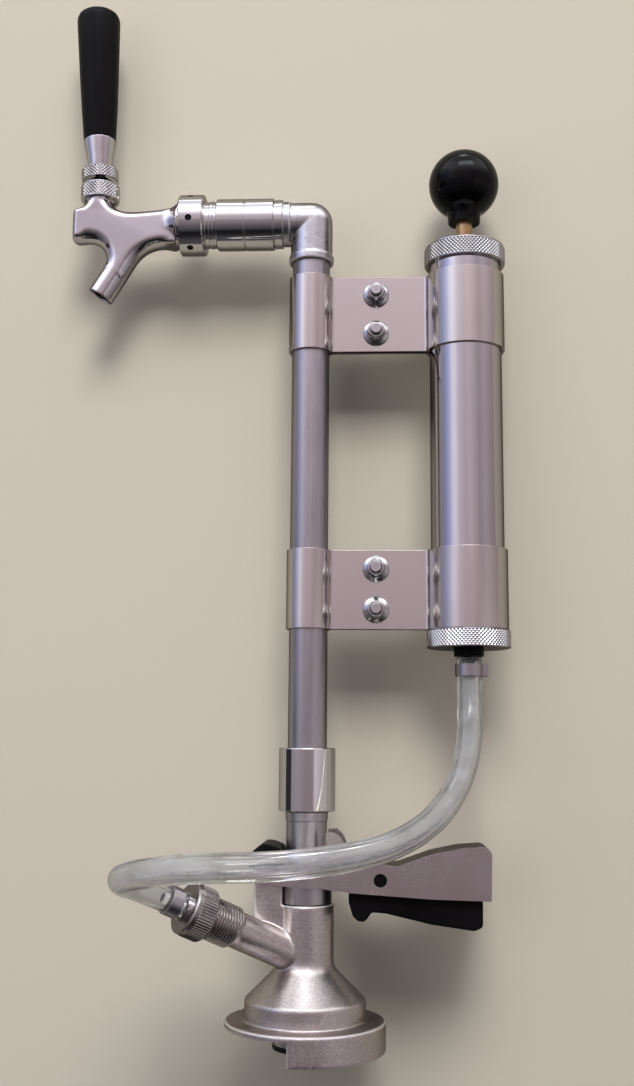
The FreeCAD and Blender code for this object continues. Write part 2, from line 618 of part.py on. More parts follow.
def probeAndSeals():
    grooveLow = drivePinZ - drivePinR - grooveFit
    grooveHigh = drivePinZ + drivePinR + grooveFit
    headBottom = sealBottom + sealThick
    ringRoot = probeOd / 2 - 2 * ringSection - 0.02
    groove = gasChamberTop + 1.2
    ringWidth = ringSection * 2 + 0.1
    profile = [(seatR, headBottom), (headOd / 2, headBottom), (headOd / 2, headTop), (probeOd / 2, headTop)]
    profile += [(probeOd / 2, groove), (ringRoot, groove), (ringRoot, groove + ringWidth),
                (probeOd / 2, groove + ringWidth)]
    profile += [(probeOd / 2, collarBottom), (collarOd / 2, collarBottom), (collarOd / 2, grooveLow),
                (grooveR, grooveLow), (grooveR, grooveHigh), (collarOd / 2, grooveHigh),
                (collarOd / 2, collarTop), (stemOd / 2, collarTop), (stemOd / 2, stemShoulder),
                (stemTopOd / 2, stemShoulder), (stemTopOd / 2, beerNutBottom - 0.4),
                (threadOd / 2, beerNutBottom - 0.4), (threadOd / 2, probeTop), (beerBore / 2, probeTop),
                (beerBore / 2, seatZ), (seatR, seatZ)]
    node("probe", turned("probe", profile))
    node("probe_seal", soften(ring("probe_seal", seatR + 1, headOd / 2, sealBottom, headBottom),
                              sealThick * 0.35, ringAt(headOd / 2, sealBottom)))
    torus = doc.addObject("Part::Torus", "ProbeRing")
    bind(torus, Radius1=probeOd / 2 - ringSection - 0.01, Radius2=ringSection)
    node("probe_ring", place(torus, z=groove + ringWidth / 2))
    node("body_seal", ring("body_seal", headOd / 2 + 1.2, bodySealOd / 2, footHeight - bodySealThick,
                           footHeight))

    ballZ = seatZ + root(ballR * ballR - seatR * seatR) + 0.04
    ball = doc.addObject("Part::Sphere", "CheckBall")
    bind(ball, Radius=ballR)
    node("check_ball", place(ball, z=ballZ))
    stopZ = ballZ + ballR + ballLift + 0.3
    cage = ring("retainer_disc", 2.5, beerBore / 2 - tubeFit, stopZ, stopZ + 3)
    slots = [box("RetainerSlotX", (-beerBore, -1.5, stopZ - 1), (beerBore, 1.5, stopZ + 4)),
             box("RetainerSlotY", (-1.5, -beerBore, stopZ - 1), (1.5, beerBore, stopZ + 1.2))]
    waist = ring("retainer_keep", beerBore / 2 - 1.6, beerBore, stopZ - 1, stopZ + 4)
    slotted = cut("RetainerSlots", fuse("RetainerCross", *slots), waist)
    node("ball_retainer", cut("BallRetainer", cage, slotted))


def leverPieces():
    inner = earOuter + seatFit
    outer = inner + plateThick
    rise = hingeZ + leverEndR
    low = [(hingeX, hingeZ - leverEndR), (hingeX + 12.6, 88.2), (9.2, 87.2), (25.6, 85.2), (69.2, 82.5),
           (101.7, 81.8)]
    high = [(102.4, 110.9), (85, 109.5), (69.4, 106.2), (50.6, 99.5), (36, 101.6), (24.2, 103.6), (22.4, 109),
            (20.4, 114), (17.6, 116.6), (16.4, 117.4), (11.6, 117.2), (11.2, 102.4), (-6, rise + 0.6),
            (hingeX, rise)]
    side = plate("lever_side", low + high, outer)
    soften(side, 5, cornerAt(high[0]))
    soften(side, 8, cornerAt(high[3]))
    soften(side, 3, cornerAt(high[5], high[11]))
    eye = cylinder("LeverEye", leverEndR, 2 * outer, x=hingeX, y=outer, z=hingeZ, toward=V(0, -1, 0))
    whole = fuse("LeverBlank", side, eye)
    skin = plateThick
    far = hingeX - 2 * leverEndR
    channel = plate("lever_channel", [
        (far, 60), (101.7 - skin, 60), (102.4 - skin, 110.9 - skin - 1.2), (85, 109.5 - skin),
        (69.4, 106.2 - skin), (50.6, 99.5 - skin), (36, 101.6 - skin), (webStart, 102.4 - skin),
        (webStart, 130), (far, 130)], inner)
    across = dict(y=2 * outer, toward=V(0, -1, 0))
    bores = [cylinder("HingeBore", hingePinR + tubeFit, 4 * outer, x=hingeX, z=hingeZ, **across),
             cylinder("DriveBore", drivePinR, 4 * outer, x=drivePinX, z=drivePinZ, **across),
             cylinder("TriggerBore", triggerHoleR, 4 * outer, x=triggerX, z=triggerZ, **across)]
    node("lever_handle", cut("LeverHandle", whole, fuse("LeverHoles", channel, *bores)))

    reach = outer - grooveR - seatFit
    drive = [cylinder("DrivePinNear", drivePinR, reach, x=drivePinX, y=-(grooveR + seatFit), z=drivePinZ,
                      toward=V(0, -1, 0)),
             cylinder("DrivePinFar", drivePinR, reach, x=drivePinX, y=outer, z=drivePinZ, toward=V(0, -1, 0))]
    node("drive_pins", group("DrivePins", drive))
    node("hinge_pin", cylinder("HingePin", hingePinR, 2 * outer, x=hingeX, y=outer, z=hingeZ,
                               toward=V(0, -1, 0)))

    end = hingeX + 11.4
    shell = plate("cap_shell", [
        (hingeX - 6.8, hingeZ + 0.4), (hingeX - 6.2, 103.4), (hingeX - 4.6, 107), (hingeX + 0.8, 111),
        (hingeX + 5, 110.6), (end - 1, 108.6), (end, 107), (end, hingeZ + 2)], outer)
    soften(shell, 2.4, cornerAt((hingeX + 0.8, 111), (hingeX - 4.6, 107)))
    sides = [box("CapCoreNear", (hingeX - 20, -outer - 1, hingeZ - 10), (hingeX + 30, -inner, rise + 0.9)),
             box("CapCoreFar", (hingeX - 20, inner, hingeZ - 10), (hingeX + 30, outer + 1, rise + 0.9))]
    hollow = cylinder("CapCoreEye", earR + 0.5, 2 * outer, x=hingeX, y=outer, z=hingeZ, toward=V(0, -1, 0))
    scallop = cylinder("CapCoreStem", collarOd / 2 + 0.5, 60, z=hingeZ - 20)
    node("lever_end_cap", cut("LeverEndCap", shell, fuse("CapCore", hollow, scallop, *sides)))


def triggerPieces():
    grip = plate("trigger_grip", [
        (24.2, 90), (24, 80), (26.4, 72.4), (29.2, 69.9), (32.3, 69.5), (34.2, 71), (36.7, 74.6), (44, 74.2),
        (69.3, 68.6), (92.7, 65.5), (97.2, 67.6), (97.4, 84), (93, 87), (54, 88.5), (48.4, 96.4),
        (34.6, 96.4),
        (30, 90)], triggerHalf)
    soften(grip, 2, cornerAt((97.2, 67.6), (97.4, 84), (48.4, 96.4), (34.6, 96.4)))
    outer = earOuter + seatFit + plateThick
    boss = cylinder("TriggerBoss", triggerHoleR - runFit, 2 * outer - 2, x=triggerX, y=outer - 1, z=triggerZ,
                    toward=V(0, -1, 0))
    node("grip_trigger", fuse("GripTrigger", grip, boss))
    node("trigger_spring", plate("trigger_spring", [
        (58, 88.7), (72, 88.4), (84, 98), (90, 106), (89, 106.6), (83, 98.8), (71.6, 89.3), (58, 89.6)], 4))


def riserPieces():
    ferruleZ = probeTop + washerThick
    node("beer_washer", ring("beer_washer", lineBoreR, threadOd / 2 - 0.6, probeTop, ferruleZ))
    top = ferruleZ + ferruleThick
    tubeInner = riserOd / 2 - riserWall
    node("riser_ferrule", ring("riser_ferrule_flange", lineBoreR, ferruleR, ferruleZ, top))
    spigot = ring("riser_spigot", lineBoreR, tubeInner - tubeFit, top, top + spigotLength)
    node("riser_ferrule", fuse("RiserFerrule", nodes["riser_ferrule"], spigot))
    node("riser_tube", ring("riser_tube", tubeInner, riserOd / 2, top, riserTop))
    node("beer_nut", soften(soften(turned("beer_nut", [
        (threadOd / 2 + tubeFit, beerNutBottom), (beerNutOd / 2, beerNutBottom), (beerNutOd / 2, beerNutTop),
        (riserOd / 2 + tubeFit, beerNutTop), (riserOd / 2 + tubeFit, top + 0.4), (ferruleR + 0.3, top + 0.4),
        (ferruleR + 0.3, ferruleZ - 1), (threadOd / 2 + tubeFit, ferruleZ - 1)]),
        0.9, ringAt(beerNutOd / 2, beerNutTop)), 0.9, ringAt(beerNutOd / 2, beerNutBottom)))
    nippleTop = elbowBottom + nippleDepth
    node("riser_nipple", turned("riser_nipple", [
        (lineBoreR, riserTop - spigotLength), (tubeInner - tubeFit, riserTop - spigotLength),
        (tubeInner - tubeFit, riserTop), (nippleR, riserTop), (nippleR, nippleTop - 1),
        (nippleR - 0.9, nippleTop), (lineBoreR, nippleTop)]))


def elbowPiece():
    upright = turned("elbow_upright", [
        (0, elbowBottom), (bandR, elbowBottom), (bandR, elbowBottom + bandLength),
        (elbowR, elbowBottom + bandLength),
        (elbowR, tapAxisZ), (0, tapAxisZ)])
    level = turned("elbow_level", [
        (0, 0), (elbowR, 0), (elbowR, elbowReach - bandLength), (bandR, elbowReach - bandLength),
        (bandR, elbowReach), (0, elbowReach)], **atTap)
    corner = doc.addObject("Part::Sphere", "ElbowCorner")
    bind(corner, Radius=elbowR)
    place(corner, z=tapAxisZ)
    blank = fuse("ElbowBlank", upright, level, corner)
    bores = fuse("ElbowBores",
                 cylinder("ElbowThread", nippleR + tubeFit, nippleDepth + 0.3, z=elbowBottom),
                 cylinder("ElbowRise", lineBoreR, tapAxisZ - elbowBottom, z=elbowBottom),
                 cylinder("ElbowRun", lineBoreR, elbowReach, **atTap),
                 cylinder("ElbowSocket", nippleR + tubeFit, 9, x=-elbowReach + 9, z=tapAxisZ,
                          toward=tapAlong))
    node("elbow", cut("Elbow", blank, bores))


def adapterPieces():
    socketStart = elbowReach - 8.6
    node("tap_adapter", turned("tap_adapter", [
        (lineBoreR - 1.5, socketStart), (nippleR, socketStart), (nippleR, elbowReach),
        (adapterBandR, elbowReach),
        (adapterBandR, adapterBandEnd), (adapterR - 0.8, adapterBandEnd), (adapterR, adapterBandEnd + 0.8),
        (adapterR, lineGrooveAt - lineGrooveWidth / 2), (adapterR - 0.8, lineGrooveAt - lineGrooveWidth / 2),
        (adapterR - 0.8, lineGrooveAt + lineGrooveWidth / 2), (adapterR, lineGrooveAt + lineGrooveWidth / 2),
        (adapterR, adapterEnd - 0.8), (adapterR - 0.8, adapterEnd), (ringThreadR - 0.4, adapterEnd),
        (ringThreadR - 0.4, ringStart - 1), (ringThreadR, ringStart - 0.6), (ringThreadR, faceU),
        (chamberR + 1.2, faceU), (chamberR + 1.2, faceU - 8), (lineBoreR - 1.5, faceU - 8)], **atTap))
    lipR = shoulderR + tubeFit
    blank = turned("coupling_ring_blank", [
        (ringThreadR + tubeFit, ringStart), (ringOd / 2 - 0.9, ringStart), (ringOd / 2, ringStart + 0.9),
        (ringOd / 2, ringEnd - 0.9), (ringOd / 2 - 0.9, ringEnd), (lipR, ringEnd), (lipR, ringEnd - ringLip),
        (ringThreadR + tubeFit, ringEnd - ringLip)], **atTap)
    holes = []
    for i in range(int(float(ringHoles))):
        turn = 97 + i * 360 / float(ringHoles)
        away = V(0, -math.sin(math.radians(turn)), math.cos(math.radians(turn)))
        holes.append(cylinder("SpannerHole%d" % i, ringHoleR, ringOd, x=-(ringStart + ringEnd) / 2 - 0.6,
                              z=tapAxisZ,
                              toward=away))
    drilled = fuse("SpannerHoles", *holes)
    keep = cylinder("SpannerHoleFloor", ringThreadR + 1.6, ringEnd + 2, **atTap)
    node("coupling_ring", cut("CouplingRing", blank, cut("SpannerTips", drilled, keep)))
    node("tap_gasket", ring("tap_gasket", chamberR + 1.2, ringThreadR - 0.6, faceU, faceU + washerThick,
                            **atTap))


def tapWeb():
    """The flat-sided Y that joins nose, spout and shank, drawn round the spout's own edges."""
    slope = sine(spoutLean) / cosine(spoutLean)
    edge = spoutR / cosine(spoutLean)
    rise, drop = barrelR - 0.1, webDrop
    frontU = spoutRoot + rise * slope + edge
    rearU = spoutRoot + drop * slope - edge
    footU, footZ = spoutRoot + webRun * sine(spoutLean), tapAxisZ - webRun * cosine(spoutLean)
    sideU, sideZ = spoutR * cosine(spoutLean), spoutR * sine(spoutLean)
    neckZ = bonnetBottom + 0.2
    topU = bossU - bossR - 3.6
    nose, flank = noseU - 2.6, bossU + bossR - 0.3
    web = plate("tap_web", [
        (-nose, tapAxisZ + rise), (-flank, tapAxisZ + rise), (-flank, neckZ), (-(bossU - bossR + 0.8), neckZ),
        (-topU, tapAxisZ + webTop), (-(ringEnd + 2), tapAxisZ + webTop), (-(ringEnd + 2), tapAxisZ - drop),
        (-rearU, tapAxisZ - drop), (-(footU - sideU), footZ - sideZ), (-(footU + sideU), footZ + sideZ),
        (-frontU, tapAxisZ - rise), (-nose, tapAxisZ - rise)], webHalf)
    soften(web, frontBay, cornerAt((-frontU, tapAxisZ - rise)))
    soften(web, rearBay, cornerAt((-rearU, tapAxisZ - drop)))
    soften(web, topBay, cornerAt((-topU, tapAxisZ + webTop)))

    def faceEdge(edge):
        return all(abs(abs(corner.Point.y) - float(webHalf)) < 1e-4 for corner in edge.Vertexes)

    return soften(web, webRound, faceEdge)


def tapBody():
    rear = faceU + washerThick
    collarU = ringEnd + 0.4
    barrel = turned("tap_barrel", [
        (0, rear), (ringThreadR - 0.3, rear), (ringThreadR - 0.3, ringEnd - ringLip - 0.05),
        (shoulderR, ringEnd - ringLip - 0.05), (shoulderR, collarU), (flareR, collarU),
        (flareR - 0.3, collarU + 1), (flareR - 2, collarU + 2.8), (flareR - 3.6, flareEnd - 6),
        (waistR, flareEnd), (waistR, bossU), (barrelR, bossU + bossR), (barrelR, noseU), (0, noseU)], **atTap)
    soften(barrel, 2.4, ringAt(barrelR, noseU))
    spout = turned("tap_spout", [
        (0, 0), (spoutRootR, 0), (spoutR, spoutLength * 0.72), (spoutR, spoutLength), (0, spoutLength)],
        x=-spoutRoot, z=tapAxisZ, toward=spoutAlong)
    boss = cylinder("TapBoss", bossR, tapBallZ + 0.5 - tapAxisZ, x=-bossU, z=tapAxisZ)
    blank = fuse("TapBlank", barrel, spout, tapWeb(), boss)
    chamber = turned("tap_chamber", [
        (0, rear - 1), (chamberR + 1.2, rear - 1), (chamberR + 1.2, seatU - 1.2), (tapSeatR, seatU),
        (tapSeatR, seatU + 3), (chamberR, seatU + 5), (chamberR, bossU + 8), (shaftR + runFit, bossU + 8),
        (shaftR + runFit, noseU - 2.4), (0, noseU - 2.4)], **atTap)
    step = spoutLength - spoutWideRun
    bore = turned("spout_bore", [
        (0, 0), (spoutThroatR, 0), (spoutThroatR, step), (spoutBoreR, step), (spoutBoreR, spoutLength + 1),
        (0, spoutLength + 1)], x=-spoutRoot, z=tapAxisZ, toward=spoutAlong)
    slotHalf = tapStemR + 0.6
    sweep = common("FingerSweep", turned("finger_cone", [
        (0, tapAxisZ), (9.3, tapAxisZ + chamberR), (6.1, tapBallZ - 5.2), (0, tapBallZ - 5.2)], x=-bossU),
        box("FingerSlab", (-bossU - 12, -slotHalf, tapAxisZ), (-bossU + 12, slotHalf, tapBallZ)))
    socket = turned("tap_socket", [
        (0, tapBallZ - 7), (4, tapBallZ - 7), (6.1, tapBallZ - 5.2), (tapBallR + 0.15, tapBallZ - 3),
        (tapBallR + 0.15, tapBallZ + 2), (0, tapBallZ + 2)], x=-bossU)
    node("tap_body", cut("TapBody", blank, fuse("TapBores", chamber, bore, sweep, socket)))
    node("bonnet", turned("bonnet", [
        (bossR + tubeFit, bonnetBottom), (bonnetOd / 2 - 0.7, bonnetBottom),
        (bonnetOd / 2, bonnetBottom + 0.7),
        (bonnetOd / 2, bonnetShoulder), (bonnetMouthR + 1.6, bonnetTop), (bonnetMouthR, bonnetTop),
        (bonnetMouthR, bonnetTop - 1.2), (bossR + tubeFit, bonnetTop - 1.2)], x=-bossU))
    node("friction_washer", ring("friction_washer", tapBallR - 0.5, bossR, tapBallZ + 3.2, bonnetTop - 1.2,
                                 x=-bossU))


def tapLeverPieces():
    stemTop = tapCollarAt + tapCollarLength + ferruleLength * 0.6
    ball = doc.addObject("Part::Sphere", "TapBall")
    bind(ball, Radius=tapBallR)
    place(ball, **atLever)
    tip = doc.addObject("Part::Sphere", "FingerTip")
    bind(tip, Radius=fingerR)
    place(tip, x=-bossU + fingerArm * sine(tapLean), z=tapBallZ - fingerArm * cosine(tapLean))
    finger = turned("tap_finger", [
        (0, -fingerArm), (fingerR * 0.75, -fingerArm), (tapStemR, -tapBallR), (tapStemR, stemTop),
        (0, stemTop)],
        **atLever)
    node("tap_lever", fuse("TapLever", ball, finger, tip))
    collarTopU = tapCollarAt + tapCollarLength
    stemHole = tapStemR + tubeFit
    collar = turned("lever_collar_blank", [
        (stemHole, tapCollarAt), (tapCollarR, tapCollarAt), (tapCollarR, collarTopU - 0.8),
        (tapCollarR - 0.8, collarTopU), (stemHole, collarTopU)], **atLever)
    dish = doc.addObject("Part::Sphere", "CollarDish")
    bind(dish, Radius=tapBallR + 7.1)
    node("lever_collar", cut("LeverCollar", collar, place(dish, **atLever)))
    ferruleTop = collarTopU + ferruleLength
    node("handle_ferrule", turned("handle_ferrule", [
        (stemHole, collarTopU), (ferruleFootR, collarTopU), (ferruleFootR + 0.5, collarTopU + 6),
        (ferruleHeadR, ferruleTop), (0, ferruleTop), (0, stemTop + 0.3), (stemHole, stemTop + 0.3)],
        **atLever))
    handleTop = ferruleTop + handleLength
    grip = turned("tap_handle", [
        (0, ferruleTop), (handleFootR, ferruleTop), (handleHeadR, handleTop - 6),
        (handleHeadR - 1.2, handleTop - 2.4),
        (handleHeadR - 4.6, handleTop - 0.5), (0, handleTop)], **atLever)
    node("tap_handle", grip)

    shaft = turned("tap_shaft_bar", [
        (0, seatU - 4), (shaftWaistR, seatU - 4), (shaftWaistR, seatU + 13.2), (shaftR, seatU + 15),
        (shaftR, noseU - 4.4),
        (0, noseU - 4.4)], **atTap)
    tipX = -bossU + fingerArm * sine(tapLean)
    tipZ = tapBallZ - fingerArm * cosine(tapLean)
    pocket = cylinder("FingerPocket", fingerR + 0.48, 4 * shaftR, x=tipX, z=tipZ - fingerR - 0.6)
    relief = box("FingerRelief", (tipX - fingerR - 6, -fingerR - 0.35, tipZ + 3.4),
                 (tipX + fingerR + 1.6, fingerR + 0.35, tipZ + 4 * shaftR))
    node("tap_shaft", cut("TapShaft", shaft, fuse("FingerSlot", pocket, relief)))
    node("seat_washer", ring("seat_washer", shaftWaistR + tubeFit, tapWasherR, seatU - 1.2 - tapWasherThick,
                             seatU - 1.2 - 0.02, **atTap))


def pumpPieces():
    tubeR = pumpOd / 2
    inner = tubeR - pumpWall
    bottomIn = pumpBottom + capPlate
    topIn = pumpTop - capPlate
    node("pump_tube", ring("pump_tube", inner, tubeR, bottomIn + gasketThick, topIn - gasketThick, **atPump))
    node("bottom_cap", soften(turned("bottom_cap", [
        (outletThreadR + tubeFit, pumpBottom), (capOd / 2, pumpBottom),
        (capOd / 2, pumpBottom + bottomCapLength),
        (tubeR + tubeFit, pumpBottom + bottomCapLength), (tubeR + tubeFit, bottomIn),
        (outletThreadR + tubeFit, bottomIn)], **atPump), 0.8, ringAt(capOd / 2, pumpBottom)))
    node("top_cap", soften(turned("top_cap", [
        (bushR + tubeFit, pumpTop), (capOd / 2, pumpTop), (capOd / 2, pumpTop - topCapLength),
        (tubeR + tubeFit, pumpTop - topCapLength), (tubeR + tubeFit, topIn), (bushR + tubeFit, topIn)],
        **atPump), 0.8, ringAt(capOd / 2, pumpTop)))
    gaskets = [ring("bottom_gasket", inner - 3, tubeR, bottomIn, bottomIn + gasketThick, **atPump),
               ring("top_gasket", inner - 3, tubeR, topIn - gasketThick, topIn, **atPump)]
    node("cap_gaskets", group("CapGaskets", gaskets))
    node("rod_bush", turned("rod_bush", [
        (rodR + runFit, pumpTop - bushDepth), (bushR, pumpTop - bushDepth), (bushR, pumpTop),
        (bushFlangeR, pumpTop),
        (bushFlangeR - 0.5, pumpTop + bushFlangeThick), (rodR + runFit, pumpTop + bushFlangeThick)],
        **atPump))

    discLow = pistonBottom + pistonNutThick + 1.5
    cupLow = discLow + pistonDiscThick
    discHigh = cupLow + pistonCupHeight
    shoulder = discHigh + pistonDiscThick
    rodTop = knobBottom + knobSocket
    node("pump_rod", turned("pump_rod", [
        (0, pistonBottom), (rodThreadR, pistonBottom), (rodThreadR, shoulder), (rodR, shoulder),
        (rodR, rodTop),
        (0, rodTop)], **atPump))
    hole = rodThreadR + tubeFit
    node("piston_discs", group("PistonDiscs", [
        ring("piston_disc_low", hole, pistonDiscR, discLow, cupLow, **atPump),
        ring("piston_disc_high", hole, pistonDiscR, discHigh, shoulder, **atPump)]))
    node("piston_cup", turned("piston_cup", [
        (hole, cupLow), (inner - runFit * 2 - 2.4, cupLow), (inner - runFit * 2, cupLow + 2.4),
        (inner - runFit * 2, discHigh), (inner - runFit * 2 - pistonCupSkin, discHigh),
        (inner - runFit * 2 - pistonCupSkin, cupLow + 2.4 + 1), (pistonDiscR - 4, cupLow + pistonCupSkin),
        (hole + 3, cupLow + pistonCupSkin), (hole + 3, discHigh), (hole, discHigh)], **atPump))
    nut = prism("PistonHex", pistonNutAcross, pistonNutThick, x=pumpX, z=discLow - pistonNutThick)
    node("piston_nut", cut("PistonNut", nut, cylinder("PistonNutHole", hole, 3 * pistonNutThick, x=pumpX,
                                                      z=pistonBottom - pistonNutThick)))
    ball = doc.addObject("Part::Sphere", "KnobBall")
    bind(ball, Radius=knobR)
    place(ball, x=pumpX, z=knobZ)
    neck = soften(turned("knob_boss", [(0, knobBottom), (knobBossR, knobBottom),
                                       (knobBossR + 0.6, knobZ - knobR + 4),
                                       (0, knobZ - knobR + 4)], **atPump), 0.9, ringAt(knobBossR, knobBottom))
    socket = cylinder("KnobSocket", rodR + tubeFit, knobSocket + 0.2, x=pumpX, z=knobBottom)
    node("ball_knob", cut("BallKnob", fuse("KnobBlank", ball, neck), socket))

    barbStart = pumpBottom - outletBossLength
    tip = barbStart - barbLength
    ridgeR = hoseBore / 2 - barbGap
    profile = [(barbBore, pumpBottom + capPlate), (outletThreadR, pumpBottom + capPlate),
               (outletThreadR, pumpBottom),
               (outletBossR, pumpBottom), (outletBossR, barbStart), (barbWaist, barbStart)]
    step = barbLength / 3
    for i in range(3):
        profile += [(barbWaist, barbStart - step * (i + 0.34)), (ridgeR, barbStart - step * (i + 0.35))]
        profile += [(barbWaist, barbStart - step * (i + 1))]
    profile += [(barbBore, tip)]
    node("outlet_barb", turned("outlet_barb", profile, **atPump))
    seatTop = valveSeatZ + valveSeatThick
    node("valve_seat", ring("valve_seat", valveHoleR, inner - tubeFit, valveSeatZ, seatTop, **atPump))
    discLow = valveSeatZ - valveDiscThick
    node("outlet_valve", turned("outlet_valve", [
        (0, discLow - 1.6), (valveSpringR - 1, discLow - 1.6), (valveSpringR - 1, discLow),
        (valveDiscR, discLow),
        (valveDiscR, valveSeatZ), (0, valveSeatZ)], **atPump))
    wire = doc.addObject("Part::Helix", "ValveWire")
    height = discLow - bottomIn - valveWireR * 2 - 0.06
    bind(wire, Pitch=height / 3, Height=height, Radius=valveSpringR)
    place(wire, x=pumpX, z=bottomIn + valveWireR + 0.03)
    section = doc.addObject("Part::Circle", "ValveWireSection")
    bind(section, Radius=valveWireR)
    place(section, x=pumpX + valveSpringR, z=bottomIn + valveWireR + 0.03, toward=V(0, 1, 0))
    coil = doc.addObject("Part::Sweep", "ValveCoil")
    coil.Sections = [section]
    coil.Spine = (wire, ["Edge1"])
    coil.Solid = True
    coil.Frenet = True
    node("valve_spring", coil)
    return barbStart


def clampHalf(name, bottom, front):
    """One pressed half: a half shell round the riser, a flat tab and a half shell round the pump."""
    sign = -1 if front else 1
    riserInner, pumpInner = riserOd / 2 + tubeFit, pumpOd / 2 + tubeFit
    reach = pumpOd
    shells = [cylinder(name + "RiserSkin", riserInner + clampThick, clampHeight, z=bottom),
              cylinder(name + "PumpSkin", pumpInner + clampThick, clampHeight, x=pumpX, z=bottom)]
    tabLow, tabHigh = (-(tabGap + clampThick), -tabGap) if front else (tabGap, tabGap + clampThick)
    tab = box(name + "Tab", (0, tabLow, bottom), (pumpX, tabHigh, bottom + clampHeight))
    side = (-reach, -clampSplit) if front else (clampSplit, reach)
    keep = box(name + "Side", (-reach, side[0], bottom), (pumpX + reach, side[1], bottom + clampHeight))
    blank = common(name + "Blank", fuse(name + "Skins", tab, *shells), keep)
    middle = box(name + "Gap", (0, -tabGap, bottom - 1), (pumpX, tabGap, bottom + clampHeight + 1))
    tools = [cylinder(name + "RiserHole", riserInner, clampHeight + 2, z=bottom - 1),
             cylinder(name + "PumpHole", pumpInner, clampHeight + 2, x=pumpX, z=bottom - 1), middle]
    for i in (-1, 1):
        tools.append(cylinder(name + "Hole%d" % (i + 1), boltHoleR, 20, x=boltX, y=sign * -10,
                              z=bottom + clampHeight / 2 + i * boltPitch / 2, toward=V(0, sign, 0)))
    trimmed = cut(name + "Trimmed", blank, fuse(name + "Tools", *tools))
    outerFace = tabGap + clampThick
    bends = []
    for i, edge in enumerate(trimmed.Shape.Edges):
        first, last = edge.Vertexes[0].Point, edge.Vertexes[-1].Point
        upright = abs(abs(first.z - last.z) - float(clampHeight)) < 1e-3
        if upright and abs(abs(first.y) - float(outerFace)) < 1e-3:
            bends.append((i + 1, float(clampBend), float(clampBend)))
    rounded = doc.addObject("Part::Fillet", name + "Bent")
    rounded.Base = trimmed
    rounded.Edges = bends
    doc.recompute()
    return rounded


def clampPieces():
    bolts, nuts, washers = [], [], []
    outerFace = tabGap + clampThick
    nutEnd = outerFace + nutThick
    for name, bottom in (("lower_clamp", lowerClampZ), ("upper_clamp", upperClampZ)):
        stem = name.title().replace("_", "")
        node(name + "_front", clampHalf(stem + "Front", bottom, True))
        node(name + "_back", clampHalf(stem + "Back", bottom, False))
        for i in (-1, 1):
            tag = "%s%d" % (stem, i + 1)
            spot = dict(x=boltX, z=bottom + clampHeight / 2 + i * boltPitch / 2)
            near, far = V(0, -1, 0), V(0, 1, 0)
            headFace = outerFace + boltWasherThick
            shank = cylinder(tag + "Shank", boltR, headFace + nutEnd + boltStub, y=headFace, toward=near,
                             **spot)
            head = prism(tag + "Head", boltHeadAcross, boltHeadThick, y=headFace, toward=far, **spot)
            bolts.append(fuse(tag + "Bolt", shank, head))
            hexPart = prism(tag + "Hex", nutAcross, nutThick - nutCollar, y=-outerFace, toward=near, **spot)
            skirtPart = cylinder(tag + "NutFlange", nutFlangeR, nutFlangeThick, y=-outerFace, toward=near,
                                 **spot)
            collar = cylinder(tag + "NutCollar", nutAcross / 2 - 0.5, nutThick, y=-outerFace, toward=near,
                              **spot)
            hole = cylinder(tag + "NutHole", boltR + tubeFit, 3 * nutThick, y=0, toward=near, **spot)
            nuts.append(cut(tag + "Nut", fuse(tag + "NutBlank", hexPart, skirtPart, collar), hole))
            disc = cylinder(tag + "WasherDisc", boltWasherR, boltWasherThick, y=outerFace, toward=far, **spot)
            eye = cylinder(tag + "WasherEye", boltR + tubeFit, 9, y=0, toward=far, **spot)
            washers.append(cut(tag + "Washer", disc, eye))
    node("clamp_bolts", group("ClampBolts", bolts))
    node("clamp_nuts", group("ClampNuts", nuts))
    node("clamp_washers", group("ClampWashers", washers))


def roundedPath(points):
    """Straight runs joined by tangent arcs, each as large as its two runs allow."""
    edges, radii = [], []
    start = points[0]
    for i in range(1, len(points) - 1):
        before, here, after = points[i - 1], points[i], points[i + 1]
        first, last = here.sub(before), after.sub(here)
        shorter = min(first.Length, last.Length)
        turn = first.getAngle(last)
        setback = 0.45 * shorter
        radii.append(setback / math.tan(turn / 2))
        first.normalize()
        last.normalize()
        enter = here.sub(V(first).multiply(setback))
        leave = here.add(V(last).multiply(setback))
        bend = V(last).sub(first)
        bend.normalize()
        reach = math.hypot(setback, radii[-1]) - radii[-1]
        edges.append(Part.LineSegment(start, enter).toShape())
        edges.append(Part.Arc(enter, here.add(V(bend).multiply(reach)), leave).toShape())
        start = leave
    edges.append(Part.LineSegment(start, points[-1]).toShape())
    return Part.Wire(edges), radii


